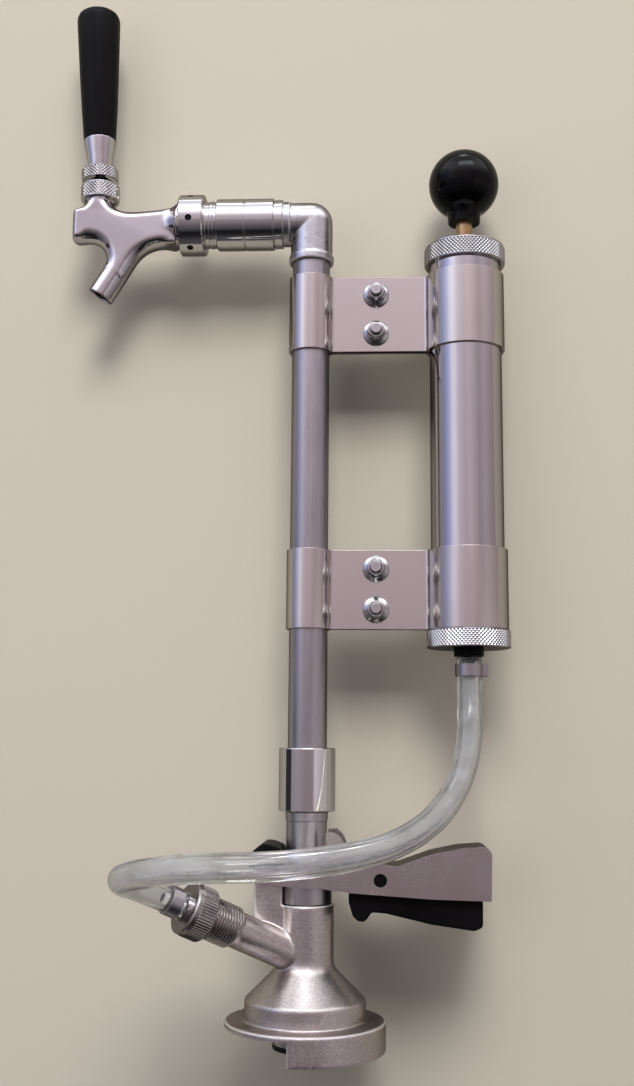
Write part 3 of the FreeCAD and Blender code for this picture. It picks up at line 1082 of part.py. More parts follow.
def hosePiece(gasStart, outletStart):
    """The clear hose, from the pump's barb round the front of the riser to the gas port's barb."""
    top = V(float(pumpX), 0, float(outletStart))
    end = V(0, 0, float(portHeight)).add(V(portAlong).multiply(float(gasStart)))
    leave = V(0, 0, float(portHeight)).add(V(portAlong).multiply(float(gasStart) + 24))
    route = [top, V(float(pumpX), 0, 191), V(91.5, -12, 170), V(86, -29, 149), V(76, -43, 133),
             V(62.5, -62, 121.8),
             V(44.5, -82, 114.4), V(25, -98, 111), V(3, -111, 108.8), V(-20, -119, 108), V(-43, -119.5,
                                                                                           107.5),
             V(-64, -111, 105), V(-81, -96, 101), V(-90.5, -76, 96.5), leave, end]
    path, radii = roundedPath(route)
    print("hose radii", [round(one, 1) for one in radii], "length", round(path.Length, 1))
    runs = [round(route[i].sub(route[i + 1]).Length, 1) for i in range(len(route) - 1)]
    print("hose runs", runs)
    outer = Part.Wire([Part.Circle(top, V(route[1]).sub(top), float(hoseOd) / 2).toShape()])
    inner = Part.Wire([Part.Circle(top, V(route[1]).sub(top), float(hoseBore) / 2).toShape()])
    solid = path.makePipeShell([outer], True, False)
    core = path.makePipeShell([inner], True, False)
    shape = solid.cut(core)
    area = math.pi * (float(hoseOd) ** 2 - float(hoseBore) ** 2) / 4
    print("hose volume ratio", round(shape.Volume / (area * path.Length), 4))
    hose = doc.addObject("Part::Feature", "Hose")
    hose.Shape = shape
    return node("hose", hose)


print("building")
couplerBody()
gasStart = gasFittings()
probeAndSeals()
leverPieces()
triggerPieces()
riserPieces()
elbowPiece()
adapterPieces()
tapBody()
tapLeverPieces()
outletStart = pumpPieces()
clampPieces()
hosePiece(gasStart, outletStart)
earClamp("gas_hose_clamp", gasStart + 2.3, V(0, 1, 0), **atPort)
earClamp("outlet_hose_clamp", outletStart - 4.2 - hoseClampWidth, V(1, 0, 0), **atPump)
doc.recompute()

for obj in doc.Objects:
    if "Invalid" in obj.State or "Error" in obj.State:
        raise RuntimeError("failed object " + obj.Name)

os.makedirs("parts", exist_ok=True)
for name, obj in sorted(nodes.items()):
    shape = obj.Shape
    if shape.isNull() or not shape.isValid() or not shape.Solids:
        raise RuntimeError("bad shape " + name)
    shape.exportStep("parts/%s.step" % name)
    print("%-20s solids %d volume %.1f faces %d" % (name, len(shape.Solids), shape.Volume, len(shape.Faces)))
print("nodes", len(nodes))
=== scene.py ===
import bpy, bmesh, json, math
from mathutils import Matrix, Vector
from mathutils.kdtree import KDTree


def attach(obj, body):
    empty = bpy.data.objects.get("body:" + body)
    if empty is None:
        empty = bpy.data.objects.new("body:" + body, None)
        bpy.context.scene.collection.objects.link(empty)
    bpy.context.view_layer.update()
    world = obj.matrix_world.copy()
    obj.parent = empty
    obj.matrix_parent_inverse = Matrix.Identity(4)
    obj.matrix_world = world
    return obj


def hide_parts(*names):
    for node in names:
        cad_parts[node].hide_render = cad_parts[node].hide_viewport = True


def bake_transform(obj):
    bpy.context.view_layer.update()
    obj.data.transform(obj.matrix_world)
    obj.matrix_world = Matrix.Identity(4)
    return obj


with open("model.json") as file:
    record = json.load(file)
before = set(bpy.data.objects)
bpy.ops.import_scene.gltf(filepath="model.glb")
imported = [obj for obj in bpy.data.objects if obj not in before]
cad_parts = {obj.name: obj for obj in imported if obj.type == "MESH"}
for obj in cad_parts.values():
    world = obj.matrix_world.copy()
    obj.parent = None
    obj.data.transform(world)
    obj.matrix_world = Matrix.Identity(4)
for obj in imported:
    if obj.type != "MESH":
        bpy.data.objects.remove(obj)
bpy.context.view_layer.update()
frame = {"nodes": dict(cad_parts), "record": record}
nodes = frame["nodes"]
scene = bpy.context.scene
mm = 0.001
atRiser = Matrix.Identity(4)

camera = dict(swing=3.0, rise=9.0, roll=0.45, distance=0.729, aside=0.0046, aimHeight=0.281, nearest=0.01,
              sensor=36, focal=1250, pictureHeight=1086)
lamps = dict(window=dict(at=(0.22, -1.96, 2.12), power=50, tone=(1.0, 0.985, 0.97)),
             fill=dict(at=(-0.8, -1.2, 0.2), power=3.6, tone=(0.95, 0.97, 1.0)))
lampSize, lampAim = 1.0, (0, 0, 0.3)
# the mat's last number is a painted shade: how much darker the mat shows where metal reflects it
mat = dict(tone=(0.598, 0.552, 0.452), size=1.6, at=(0, 0.054, 0.014), tilt=math.radians(2.6), shadeInReflections=0.42)
room = dict(
    # a bright window and something dark on the left, which the beer nut shows: from, to and softness
    pane=dict(angle=(-0.42, 0.66, 0.05), height=(0.70, 0.86, 0.02), tone=(5.6, 5.8, 6.3)),
    beside=dict(angle=(-1.95, -1.12, 0.03), height=(-0.16, 0.045, 0.012), tone=(0.015, 0.014, 0.018), share=0.95),
    # the heights where the low horizon turns into the high one and where both fade, and what scattered light loses
    lowToHigh=(0.0, 0.12), ends=(0.40, 0.75), shade=0.5,
    # what the metal shows round the horizon, as a share of the brightness that the height gives
    around=[(0.00, (0.84, 0.80, 0.76)), (0.22, (0.80, 0.76, 0.76)), (0.262, (0.48, 0.52, 0.64)),
            (0.295, (0.56, 0.62, 1.00)), (0.335, (0.88, 1.00, 1.48)), (0.365, (1.52, 1.56, 1.90)),
            (0.392, (1.60, 1.60, 1.80)), (0.425, (1.16, 1.09, 1.22)), (0.475, (1.00, 0.89, 0.97)),
            (0.520, (1.06, 0.93, 1.00)), (0.565, (0.86, 0.75, 0.80)), (0.600, (0.66, 0.58, 0.63)),
            (0.655, (0.80, 0.70, 0.76)), (0.705, (0.66, 0.57, 0.61)), (0.745, (0.58, 0.49, 0.51)),
            (0.788, (0.58, 0.47, 0.47)), (0.805, (0.36, 0.25, 0.23)), (0.832, (0.36, 0.25, 0.23)),
            (0.850, (0.78, 0.73, 0.69)), (1.00, (0.84, 0.80, 0.76))],
    # the same below the horizon, where the short upright parts look
    aroundLow=[(0.00, (0.90, 0.86, 0.82)), (0.24, (0.85, 0.82, 0.80)), (0.29, (0.62, 0.60, 0.64)),
               (0.40, (0.78, 0.72, 0.78)), (0.50, (0.64, 0.55, 0.58)), (0.572, (0.66, 0.58, 0.61)),
               (0.60, (1.50, 1.42, 1.48)), (0.66, (1.20, 1.15, 1.16)), (0.75, (1.0, 0.98, 0.94)),
               (1.0, (0.9, 0.86, 0.82))],
    # brightness by the sine of the height, from straight below to straight above
    upward=[(-1.0, (0.07, 0.065, 0.07)), (-0.93, (0.04, 0.036, 0.04)), (-0.86, (0.016, 0.014, 0.016)),
            (-0.72, (0.012, 0.010, 0.012)), (-0.60, (0.07, 0.065, 0.07)),
            (-0.45, (0.15, 0.14, 0.15)), (-0.33, (0.22, 0.21, 0.22)), (-0.16, (0.33, 0.31, 0.32)),
            (0.0, (0.42, 0.39, 0.40)), (0.26, (0.50, 0.48, 0.48)), (0.36, (0.56, 0.54, 0.56)),
            (0.50, (1.0, 0.98, 1.02)), (0.64, (1.85, 1.85, 1.88)), (0.80, (1.8, 1.8, 1.85)),
            (0.91, (1.0, 1.0, 1.08)), (0.987, (0.76, 0.76, 0.84)), (0.997, (6.0, 6.0, 6.3)), (1.0, (6.0, 6.0, 6.3))])


def addCamera():
    swing, rise, roll = (math.radians(camera[key]) for key in ("swing", "rise", "roll"))
    look = Vector((-math.sin(swing) * math.cos(rise), math.cos(swing) * math.cos(rise), math.sin(rise)))
    right = Vector((math.cos(swing), math.sin(swing), 0))
    up = right.cross(look)
    place = Vector((0, 0, camera["aimHeight"])) - look * camera["distance"] + right * camera["aside"]
    right, up = right * math.cos(roll) + up * math.sin(roll), up * math.cos(roll) - right * math.sin(roll)
    data = bpy.data.cameras.new("photoCamera")
    data.sensor_fit, data.sensor_height = "VERTICAL", camera["sensor"]
    data.lens = camera["sensor"] * camera["focal"] / camera["pictureHeight"]
    data.clip_start = camera["nearest"]
    eye = bpy.data.objects.new("photoCamera", data)
    eye.matrix_world = Matrix.Translation(place) @ Matrix((right, up, -look)).transposed().to_4x4()
    scene.collection.objects.link(eye)
    scene.camera = eye
    print("camera ready")


class Signal:
    # wraps one socket, so that maths on it reads as an expression
    def __init__(self, finish, socket):
        self.finish, self.socket = finish, socket

    def maths(self, operation, *values):
        return self.finish.node("ShaderNodeMath", {"operation": operation}, *values)

    def __abs__(self):
        return self.maths("ABSOLUTE", self)

    def __add__(self, other):
        return self.maths("ADD", self, other)

    __radd__ = __add__

    def __sub__(self, other):
        return self.maths("SUBTRACT", self, other)

    def __rsub__(self, other):
        return self.maths("SUBTRACT", other, self)

    def __mul__(self, other):
        return self.maths("MULTIPLY", self, other)

    __rmul__ = __mul__


class Finish:
    # one material and its nodes
    def __init__(self, name, owner=None):
        self.owner = owner or bpy.data.materials.new(name)
        self.owner.use_nodes = True
        self.tree = self.owner.node_tree
        self.tree.nodes.clear()

    def node(self, kind, settings=None, *values, out=0, **named):
        made = self.tree.nodes.new(kind)
        for key, value in (settings or {}).items():
            if key == "stops":
                ramp = made.color_ramp.elements
                while len(ramp) < len(value):
                    ramp.new(0.5)
                for stop, (at, tone) in zip(ramp, value):
                    stop.position = at
                    stop.color = (*tone, 1)
            else:
                setattr(made, key, value)
        for key, value in list(enumerate(values)) + list(named.items()):
            socket = made.inputs[key if isinstance(key, int) else key.replace("_", " ")]
            if isinstance(value, Signal):
                self.tree.links.new(value.socket, socket)
            elif value is not None:
                if hasattr(socket.default_value, "__len__") and len(socket.default_value) == 4 and len(value) == 3:
                    value = (*value, 1)
                socket.default_value = value
        return Signal(self, made.outputs[out]) if made.outputs else None

    def grain(self, scale, detail, stretch=(1, 1, 1)):
        spot = self.node("ShaderNodeTexCoord", None, out="Object")
        spot = self.node("ShaderNodeMapping", None, spot, Scale=stretch)
        return self.node("ShaderNodeTexNoise", None, Vector=spot, Scale=scale, Detail=detail)

    def ramp(self, stops, value):
        return self.node("ShaderNodeValToRGB", {"stops": stops}, value)

    def window(self, value, low, high, soft):
        return self.spread(value, low - soft, low + soft) * self.spread(value, high + soft, high - soft)

    def spread(self, value, low, high):
        return self.node("ShaderNodeMapRange", None, value, low, high)

    def blend(self, factor, first, second):
        made = self.tree.nodes.new("ShaderNodeMix")
        made.data_type = "RGBA"
        self.tree.links.new(factor.socket, made.inputs[0])
        for socket, value in ((made.inputs[6], first), (made.inputs[7], second)):
            if isinstance(value, Signal):
                self.tree.links.new(value.socket, socket)
            else:
                socket.default_value = (*value, 1)
        return Signal(self, made.outputs[2])

    def bump(self, height, strength, distance, under=None):
        return self.node("ShaderNodeBump", None, Height=height, Strength=strength, Distance=distance, Normal=under)

    def close(self, **sockets):
        surface = self.node("ShaderNodeBsdfPrincipled", None, **sockets)
        self.node("ShaderNodeOutputMaterial", None, Surface=surface)
        return self.owner


def polished(name, tone, rough, smudge, limb=(0.22, 0.19, 0.17)):
    finish = Finish(name)
    cloud = finish.spread(finish.grain(55, 4), 0.38, 0.68)
    dust = finish.spread(finish.grain(900, 2), 0.60, 0.78)
    shade = finish.blend(cloud * 0.25, tone, tuple(value * 0.90 for value in tone))
    return finish.close(Base_Color=shade, Metallic=1.0, Roughness=cloud * smudge + dust * 0.05 + rough,
                        Specular_Tint=limb, Normal=finish.bump(finish.grain(1400, 2), 0.03, 0.0002))


def brushed(name, tone, along, rough, depth=0.16):
    finish = Finish(name)
    fine = finish.grain(5200, 3, along)
    broad = finish.grain(700, 3, along)
    cloud = finish.spread(finish.grain(38, 3), 0.35, 0.7)
    streak = finish.spread(fine * 0.5 + broad * 0.5, 0.35, 0.65)
    shade = finish.blend(streak * 0.5, tuple(value * 0.86 for value in tone), tuple(value * 1.08 for value in tone))
    return finish.close(Base_Color=shade, Metallic=1.0, Roughness=streak * 0.10 + cloud * 0.06 + rough,
                        Specular_Tint=(0.22, 0.19, 0.17), Normal=finish.bump(fine * 0.6 + broad * 0.4, depth, 0.0002))


def castSatin(name, low=(0.58, 0.53, 0.51), high=(0.84, 0.78, 0.75), rough=0.27):
    finish = Finish(name)
    pits = finish.grain(1500, 3)
    waves = finish.grain(160, 3)
    wear = finish.spread(finish.grain(70, 4), 0.42, 0.66)
    crest = finish.spread(finish.node("ShaderNodeAttribute", {"attribute_name": "crest"}, out="Fac"), 0.035, 0.11)
    shade = finish.blend(finish.spread(pits, 0.4, 0.62), low, high)
    # painted highlight: where a vertex stands out of its neighbours, the colour is lightened to near white and the
    # surface made rougher
    shade = finish.blend(crest * 0.9, shade, (1.0, 0.98, 0.95))
    return finish.close(Base_Color=shade, Metallic=1.0, Roughness=wear * 0.10 + pits * 0.08 + rough + crest * 0.35,
                        Specular_Tint=(0.28, 0.24, 0.20),
                        Normal=finish.bump(pits, 0.22, 0.0002, finish.bump(waves, 0.16, 0.001)))


def plainPlastic(name, tone, rough, grainBump=0.08, glassy=1.45):
    finish = Finish(name)
    skin = finish.grain(1900, 2)
    wear = finish.spread(finish.grain(60, 3), 0.5, 0.75)
    shade = finish.blend(wear * 0.35, tone, tuple(value * 1.4 + 0.001 for value in tone))
    return finish.close(Base_Color=shade, Roughness=wear * 0.08 + rough, IOR=glassy,
                        Normal=finish.bump(skin, grainBump, 0.0002))


def turnedBrass(name):
    finish = Finish(name)
    rings = finish.grain(2600, 3, (0.02, 0.02, 1))
    stain = finish.spread(finish.grain(90, 4), 0.4, 0.7)
    shade = finish.blend(stain, (0.60, 0.42, 0.22), (0.42, 0.27, 0.13))
    return finish.close(Base_Color=shade, Metallic=1.0, Roughness=rings * 0.1 + 0.25,
                        Normal=finish.bump(rings, 0.12, 0.0002))


def clearVinyl(name):
    finish = Finish(name)
    haze = finish.spread(finish.grain(120, 3), 0.35, 0.7)
    shade = finish.blend(haze * 0.5, (0.96, 0.97, 0.99), (0.90, 0.91, 0.93))
    clear = finish.node("ShaderNodeBsdfPrincipled", None, Base_Color=shade, Roughness=haze * 0.04 + 0.03, IOR=1.4,
                        Transmission_Weight=1.0, Normal=finish.bump(finish.grain(260, 2), 0.05, 0.0005))
    milk = finish.node("ShaderNodeBsdfPrincipled", None, Base_Color=(0.86, 0.89, 0.96), Roughness=0.12)
    flow = finish.spread(finish.grain(46, 3), 0.42, 0.62)
    mixed = finish.node("ShaderNodeMixShader", None, haze * 0.05 + flow * 0.06 + 0.03, clear, milk)
    finish.node("ShaderNodeOutputMaterial", None, Surface=mixed)
    return finish.owner


def addWorld():
    world = bpy.data.worlds.new("softRoom")
    scene.world = world
    sky = Finish("softRoom", world)
    spot = sky.node("ShaderNodeTexCoord", None, out="Generated")
    split = sky.node("ShaderNodeSeparateXYZ", None, spot).socket.node
    across, away, height = (Signal(sky, socket) for socket in split.outputs)
    angle = sky.node("ShaderNodeMath", {"operation": "ARCTAN2"}, across, away * -1.0)  # 0 towards the camera
    turn = angle * (0.5 / math.pi) + 0.5
    wall = sky.blend(sky.spread(height, *room["lowToHigh"]), sky.ramp(room["aroundLow"], turn),
                     sky.ramp(room["around"], turn))
    wall = sky.blend(sky.spread(abs(height), *room["ends"]), wall, (1, 1, 1))
    lift = sky.ramp([(at * 0.5 + 0.5, tone) for at, tone in room["upward"]], height * 0.5 + 0.5)
    glow = sky.node("ShaderNodeVectorMath", {"operation": "MULTIPLY"}, wall, lift)
    beside, pane = room["beside"], room["pane"]
    dark = sky.window(angle, *beside["angle"]) * sky.window(height, *beside["height"])
    glow = sky.blend(dark * beside["share"], glow, beside["tone"])
    # surfaces that scatter light get less of the room, so that the lamp's shadows stay deep
    scattered = sky.node("ShaderNodeLightPath", None, out="Is Diffuse Ray")
    bright = sky.window(angle, *pane["angle"]) * sky.window(height, *pane["height"])
    glow = sky.blend(bright * (1 - scattered), glow, pane["tone"])
    lit = sky.node("ShaderNodeBackground", None, sky.blend(scattered * room["shade"], glow, (0, 0, 0)), 1.0)
    paper = sky.node("ShaderNodeBackground", None, mat["tone"], 1.0)
    seen = sky.node("ShaderNodeLightPath", None, out="Is Camera Ray")
    through = sky.node("ShaderNodeLightPath", None, out="Is Transmission Ray")
    mixed = sky.node("ShaderNodeMixShader", None, seen + through, lit, paper)
    sky.node("ShaderNodeOutputWorld", None, Surface=mixed)
    print("world ready")


def addMat():
    felt = Finish("creamMat")
    # painted shade: the mat's colour is darkened where metal reflects it, standing in for the shadow round the object
    mirrored = felt.node("ShaderNodeLightPath", None, out="Is Glossy Ray")
    shade = felt.blend(mirrored * mat["shadeInReflections"], mat["tone"], (0, 0, 0))
    front = felt.node("ShaderNodeBsdfPrincipled", None, Base_Color=shade, Roughness=0.9,
                      Normal=felt.bump(felt.grain(420, 3), 0.1, 0.0006))
    clear = felt.node("ShaderNodeBsdfTransparent")
    behind = felt.node("ShaderNodeNewGeometry", None, out="Backfacing")
    mixed = felt.node("ShaderNodeMixShader", None, behind, front, clear)
    felt.node("ShaderNodeOutputMaterial", None, Surface=mixed)
    bm = bmesh.new()
    bmesh.ops.create_grid(bm, x_segments=1, y_segments=1, size=mat["size"])
    stand = Matrix.Translation(mat["at"]) @ Matrix.Rotation(math.radians(90) + mat["tilt"], 4, "X")
    bmesh.ops.transform(bm, matrix=stand, verts=bm.verts)
    sheet = makeObject(bm, "creamMat", felt.owner)
    print("mat ready")


def addLamps():
    for name, lamp in lamps.items():
        data = bpy.data.lights.new(name, "AREA")
        data.shape, data.size = "SQUARE", lampSize
        data.energy, data.color = lamp["power"], lamp["tone"]
        light = bpy.data.objects.new(name, data)
        light.location = lamp["at"]
        light.rotation_euler = (Vector(lamp["at"]) - Vector(lampAim)).to_track_quat("Z", "Y").to_euler()
        light.visible_glossy = False
        scene.collection.objects.link(light)
    print("lamps ready")


def makeObject(bm, name, material):
    data = bpy.data.meshes.new(name)
    bm.to_mesh(data)
    bm.free()
    data.materials.append(material)
    made = bpy.data.objects.new(name, data)
    scene.collection.objects.link(made)
    return made


def smoothShade(data, sharp):
    data.shade_smooth()
    data.set_sharp_from_angle(angle=math.radians(sharp))


def evaluated(piece):
    return bpy.data.meshes.new_from_object(piece.evaluated_get(bpy.context.evaluated_depsgraph_get()))


def softEdge(piece, width, segments=2):
    edge = piece.modifiers.new("softEdge", "BEVEL")
    edge.width, edge.segments, edge.limit_method = width * mm, segments, "ANGLE"
    edge.angle_limit, edge.harden_normals, edge.miter_outer = math.radians(35), True, "MITER_ARC"


def evenShade(piece):
    even = piece.modifiers.new("evenShade", "WEIGHTED_NORMAL")
    even.keep_sharp, even.weight = True, 60


def shellPiece(bm, node, material, sharp):
    # a piece that stands for a CAD node and moves as it does
    piece = makeObject(bm, node + "Shell", material)
    smoothShade(piece.data, sharp)
    if node in springs:
        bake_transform(piece)
    else:
        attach(piece, bodyOf[node])
    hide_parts(node)
    return piece


def addPiece(bm, name, material, node, at=atRiser, stands=False, sharp=35, rounding=0.0, segments=2):
    # a piece drawn in millimetres, which moves with a CAD node and stands for it or adds to it
    bmesh.ops.remove_doubles(bm, verts=bm.verts, dist=1e-4)
    bmesh.ops.transform(bm, matrix=Matrix.Scale(mm, 4) @ at, verts=bm.verts)
    bmesh.ops.recalc_face_normals(bm, faces=bm.faces)
    piece = makeObject(bm, name, material)
    smoothShade(piece.data, sharp)
    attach(piece, bodyOf[node])
    if stands:
        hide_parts(node)
    if rounding:
        softEdge(piece, rounding, segments)
    return piece


def mergedCopy(node):
    # a CAD node's mesh with its faces joined into closed skins
    bm = bmesh.new()
    bm.from_mesh(nodes[node].data)
    bmesh.ops.remove_doubles(bm, verts=bm.verts, dist=2e-6)
    return bm


def nodeCopy(node, material, rounding):
    # a CAD node with its flat faces whole again and its edges rounded
    bm = mergedCopy(node)
    bmesh.ops.dissolve_limit(bm, angle_limit=math.radians(0.6), verts=bm.verts, edges=bm.edges)
    piece = shellPiece(bm, node, material, 30)
    if rounding:
        softEdge(piece, rounding)
    evenShade(piece)
    return piece


def castCopy(node, material, voxel, shape=None, flow=None):
    # a CAD node as a casting: a fine voxel skin, rubbed smooth so that its edges and corners flow
    bm = mergedCopy(node)
    if shape:
        shape(bm)
    piece = shellPiece(bm, node, material, 180)
    skin = piece.modifiers.new("skin", "REMESH")
    skin.mode, skin.voxel_size, skin.adaptivity = "VOXEL", voxel * mm, 0
    data = evaluated(piece)
    piece.modifiers.clear()
    bm = bmesh.new()
    bm.from_mesh(data)
    if flow:
        flow(bm)
    rub(bm, bm.verts, 3)
    markHighlightCrests(bm)
    bm.to_mesh(piece.data)
    bm.free()
    piece.data.shade_smooth()
    return piece


def markHighlightCrests(bm):
    # how far each vertex stands out of its neighbours, which the casting's finish turns into a painted highlight along
    # its edges
    crest = bm.verts.layers.float.new("crest")
    bm.normal_update()
    for vertex in bm.verts:
        spokes = [edge.other_vert(vertex).co - vertex.co for edge in vertex.link_edges]
        reach = sum(spoke.length for spoke in spokes)
        vertex[crest] = -sum(spoke.dot(vertex.normal) for spoke in spokes) / reach if reach else 0


def rub(bm, verts, passes):
    for _ in range(passes):
        bmesh.ops.smooth_vert(bm, verts=verts, factor=0.5, use_axis_x=True, use_axis_y=True, use_axis_z=True)


hose = dict(outside=14.3, inside=7.9, lineSteps=14, sides=8, pumpEnd=0.18, route=[
    (92, 0, 214.6), (92, 0, 191), (91.5, -12, 170), (86, -29, 149), (76, -43, 133), (62.5, -62, 121.8),
    (44.5, -82, 114.4), (25, -98, 111), (3, -111, 108.8), (-20, -119, 108), (-43, -119.5, 107.5),
    (-64, -111, 105), (-81, -96, 101), (-90.5, -76, 96.5), (-82.121, -51.315, 90.114), (-63.528, -39.697, 80.352)])


def splineThrough(name, points, radius=0.0):
    curve = bpy.data.curves.new(name, "CURVE")
    curve.dimensions, curve.resolution_u = "3D", hose["lineSteps"]
    curve.bevel_depth, curve.bevel_resolution = radius, hose["sides"]
    line = curve.splines.new("NURBS")
    line.points.add(len(points) - 1)
    for spot, point in zip(line.points, points):
        spot.co = (*(Vector(point) * mm), 1)
    line.order_u, line.use_endpoint_u = 3, True
    return bpy.data.objects.new(name, curve)


def addHose():
    line = splineThrough("hoseLine", hose["route"])
    path = [vertex.co.copy() for vertex in bpy.data.meshes.new_from_object(line).vertices]
    bm = bmesh.new()
    for radius, inward in ((hose["outside"] / 2, False), (hose["inside"] / 2, True)):
        data = bpy.data.meshes.new_from_object(splineThrough("hoseWall", hose["route"], radius * mm))
        before = set(bm.faces)
        bm.from_mesh(data)
        if inward:
            bmesh.ops.reverse_faces(bm, faces=[face for face in bm.faces if face not in before])
    ends = [edge for edge in bm.edges if edge.is_boundary]
    bmesh.ops.bridge_loops(bm, edges=[edge for edge in ends if edge.verts[0].co.z > hose["pumpEnd"]])
    bmesh.ops.bridge_loops(bm, edges=[edge for edge in ends if edge.is_valid and edge.is_boundary])
    tube = makeObject(bm, "clearHose", clearVinyl("clearVinyl"))
    tube.data.shade_smooth()
    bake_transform(tube)
    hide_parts("hose")


def along(at, toward, turn=0.0):
    # a place whose own Z runs toward a direction, in millimetres
    facing = Vector(toward).normalized().to_track_quat("Z", "Y").to_matrix().to_4x4()
    return Matrix.Translation(Vector(at)) @ facing @ Matrix.Rotation(turn, 4, "Z")


def turned(bm, outline, steps):
    # spins a closed outline of (radius, height) pairs into a full ring
    corners = [bm.verts.new((radius, 0, height)) for radius, height in outline]
    edges = [bm.edges.new((corners[i - 1], corners[i])) for i in range(len(corners))]
    bmesh.ops.spin(bm, geom=corners + edges, cent=(0, 0, 0), axis=(0, 0, 1), dvec=(0, 0, 0),
                   angle=math.tau, steps=steps, use_merge=True, use_duplicate=False)


def windThread(bm, outline, turns, climb, steps):
    # winds an open outline of (radius, height) pairs up into a thread
    corners = [bm.verts.new((radius, 0, height)) for radius, height in outline]
    edges = [bm.edges.new(pair) for pair in zip(corners, corners[1:])]
    bmesh.ops.spin(bm, geom=corners + edges, cent=(0, 0, 0), axis=(0, 0, 1), dvec=(0, 0, climb),
                   angle=turns * math.tau, steps=steps, use_merge=False, use_duplicate=False)


tap = dict(axis=(0, 0, 477), lever=(-130.5, 0, 496.5), lean=math.radians(2.5), root=101.5, spoutLean=math.radians(31))
atTap = along(tap["axis"], (-1, 0, 0))
atLever = along(tap["lever"], (-math.sin(tap["lean"]), 0, math.cos(tap["lean"])))
atBoss = Matrix.Translation((tap["lever"][0], 0, 0))
atPump = Matrix.Translation((92, 0, 0))
port = dict(height=47, along=Vector((-0.774727, -0.484100, 0.406737)), root=10.35, crest=11.45, pitch=1.814,
            threadFrom=48.6, threadTo=66.4, plainFrom=47.5, reach=14)
atPort = along((0, 0, port["height"]), port["along"])

# how thick the Y is and how wide its soft edge, on its arms, spout, boss and nose, and where one turns into the next
tapForm = dict(face=8.7, edge=5.4, spoutFace=8.05, spoutEdge=8.05, bossFace=9.0, bossEdge=8.2, noseEdge=3.4,
               shank=(83, 92), spout=(6, 28), spoutEnd=(33, 42), boss=(7, 15), bossTop=16.2, nose=(136, 142),
               noseHeight=(-13, -9), facing=0.25, reach=4.5, rubs=8)
# the Y from the front: distance from the riser, height over the tap's axis
tapOutline = [(70, 13.4), (80, 12.2), (86, 10.6), (92, 9.5), (100, 8.8), (108, 8.3), (114, 8.6), (118.4, 10.0),
              (121.4, 12.6), (122.7, 16), (122.8, 22), (139.2, 22), (139.2, 16), (139.8, 13.6), (141.6, 11.4),
              (144.6, 10.2), (146.1, 8.4), (146.4, 5), (146.4, -5), (146.1, -8.6), (144.2, -10.3), (140.3, -10.6),
              (135.4, -10.5), (131.2, -11.4), (127.7, -14.2), (125.5, -18.2), (125.2, -22.6), (127.0, -27.4),
              (129.9, -31.7), (136.0, -41.8), (140.0, -48.5), (126.1, -56.8), (121.5, -49), (113.1, -35),
              (110.1, -29.9), (107.3, -25.1), (104.4, -20.9), (101, -17.7), (97, -15.5), (91.6, -14.3),
              (84, -13.9), (70, -13.8)]


def rounded(points, steps=24):
    # a smooth closed line through the points
    line = []
    for i in range(len(points)):
        a, b, c, d = (Vector(points[(i + step) % len(points)]) for step in (-1, 0, 1, 2))
        for step in range(steps):
            t = step / steps
            line.append(0.5 * (2 * b + (c - a) * t + (2 * a - 5 * b + 4 * c - d) * t * t
                               + (3 * b - a - 3 * c + d) * t ** 3))
    return line


def ease(value, low, high):
    t = max(0, min(1, (value - low) / (high - low)))
    return t * t * (3 - 2 * t)


def tapFlow(bm):
    # the Y gets flat faces with one soft edge all round, which turns into the round spout and the round boss
    form = tapForm
    line = rounded(tapOutline)
    tree = KDTree(len(line))
    for i, spot in enumerate(line):
        tree.insert((spot.x, spot.y, 0), i)
    tree.balance()
    soft = []
    for vertex in bm.verts:
        u, z = -vertex.co.x / mm, vertex.co.z / mm - tap["axis"][2]
        run = (u - tap["root"]) * math.sin(tap["spoutLean"]) - z * math.cos(tap["spoutLean"])
        if u < form["shank"][0] or z > form["bossTop"] or run > form["spoutEnd"][1]:
            continue
        i = tree.find((u, z, 0))[1]
        ahead = (line[(i + 1) % len(line)] - line[i - 1]).normalized()
        inward = Vector((ahead.y, -ahead.x))
        depth = (Vector((u, z)) - line[i]).dot(inward)
        toSpout, toBoss = ease(run, *form["spout"]), ease(z, *form["boss"])
        toNose = ease(u, *form["nose"]) * ease(-abs(z), *form["noseHeight"])
        edge = (form["edge"] + (form["spoutEdge"] - form["edge"]) * toSpout
                + (form["bossEdge"] - form["edge"]) * toBoss)
        edge += (form["noseEdge"] - edge) * toNose
        half = (form["face"] + (form["spoutFace"] - form["face"]) * toSpout
                + (form["bossFace"] - form["face"]) * toBoss)
        side = math.copysign(1, vertex.co.y)
        lean = math.atan2(abs(vertex.co.y) / mm / half, max(0, edge - depth) / edge)
        out = Vector((inward.x * math.cos(lean), side * math.sin(lean), -inward.y * math.cos(lean)))
        if out.dot(vertex.normal) < form["facing"]:
            continue
        shift = edge * (1 - math.cos(lean)) - depth if depth < edge else 0
        target = mm * Vector((-(u + inward.x * shift), side * half * math.sin(lean),
                              z + inward.y * shift + tap["axis"][2]))
        fade = ease(u, *form["shank"]) * (1 - ease(run, *form["spoutEnd"]))
        if (target - vertex.co).length < form["reach"] * mm:
            vertex.co = vertex.co.lerp(target, fade)
            soft.append(vertex)
    rub(bm, soft, form["rubs"])


def arc(radius, middle, start, end, steps):
    # points of a circle in an outline, by angle from the outline's radius direction
    angles = [math.radians(start + (end - start) * i / steps) for i in range(steps + 1)]
    return [(radius * math.cos(angle), middle + radius * math.sin(angle)) for angle in angles]


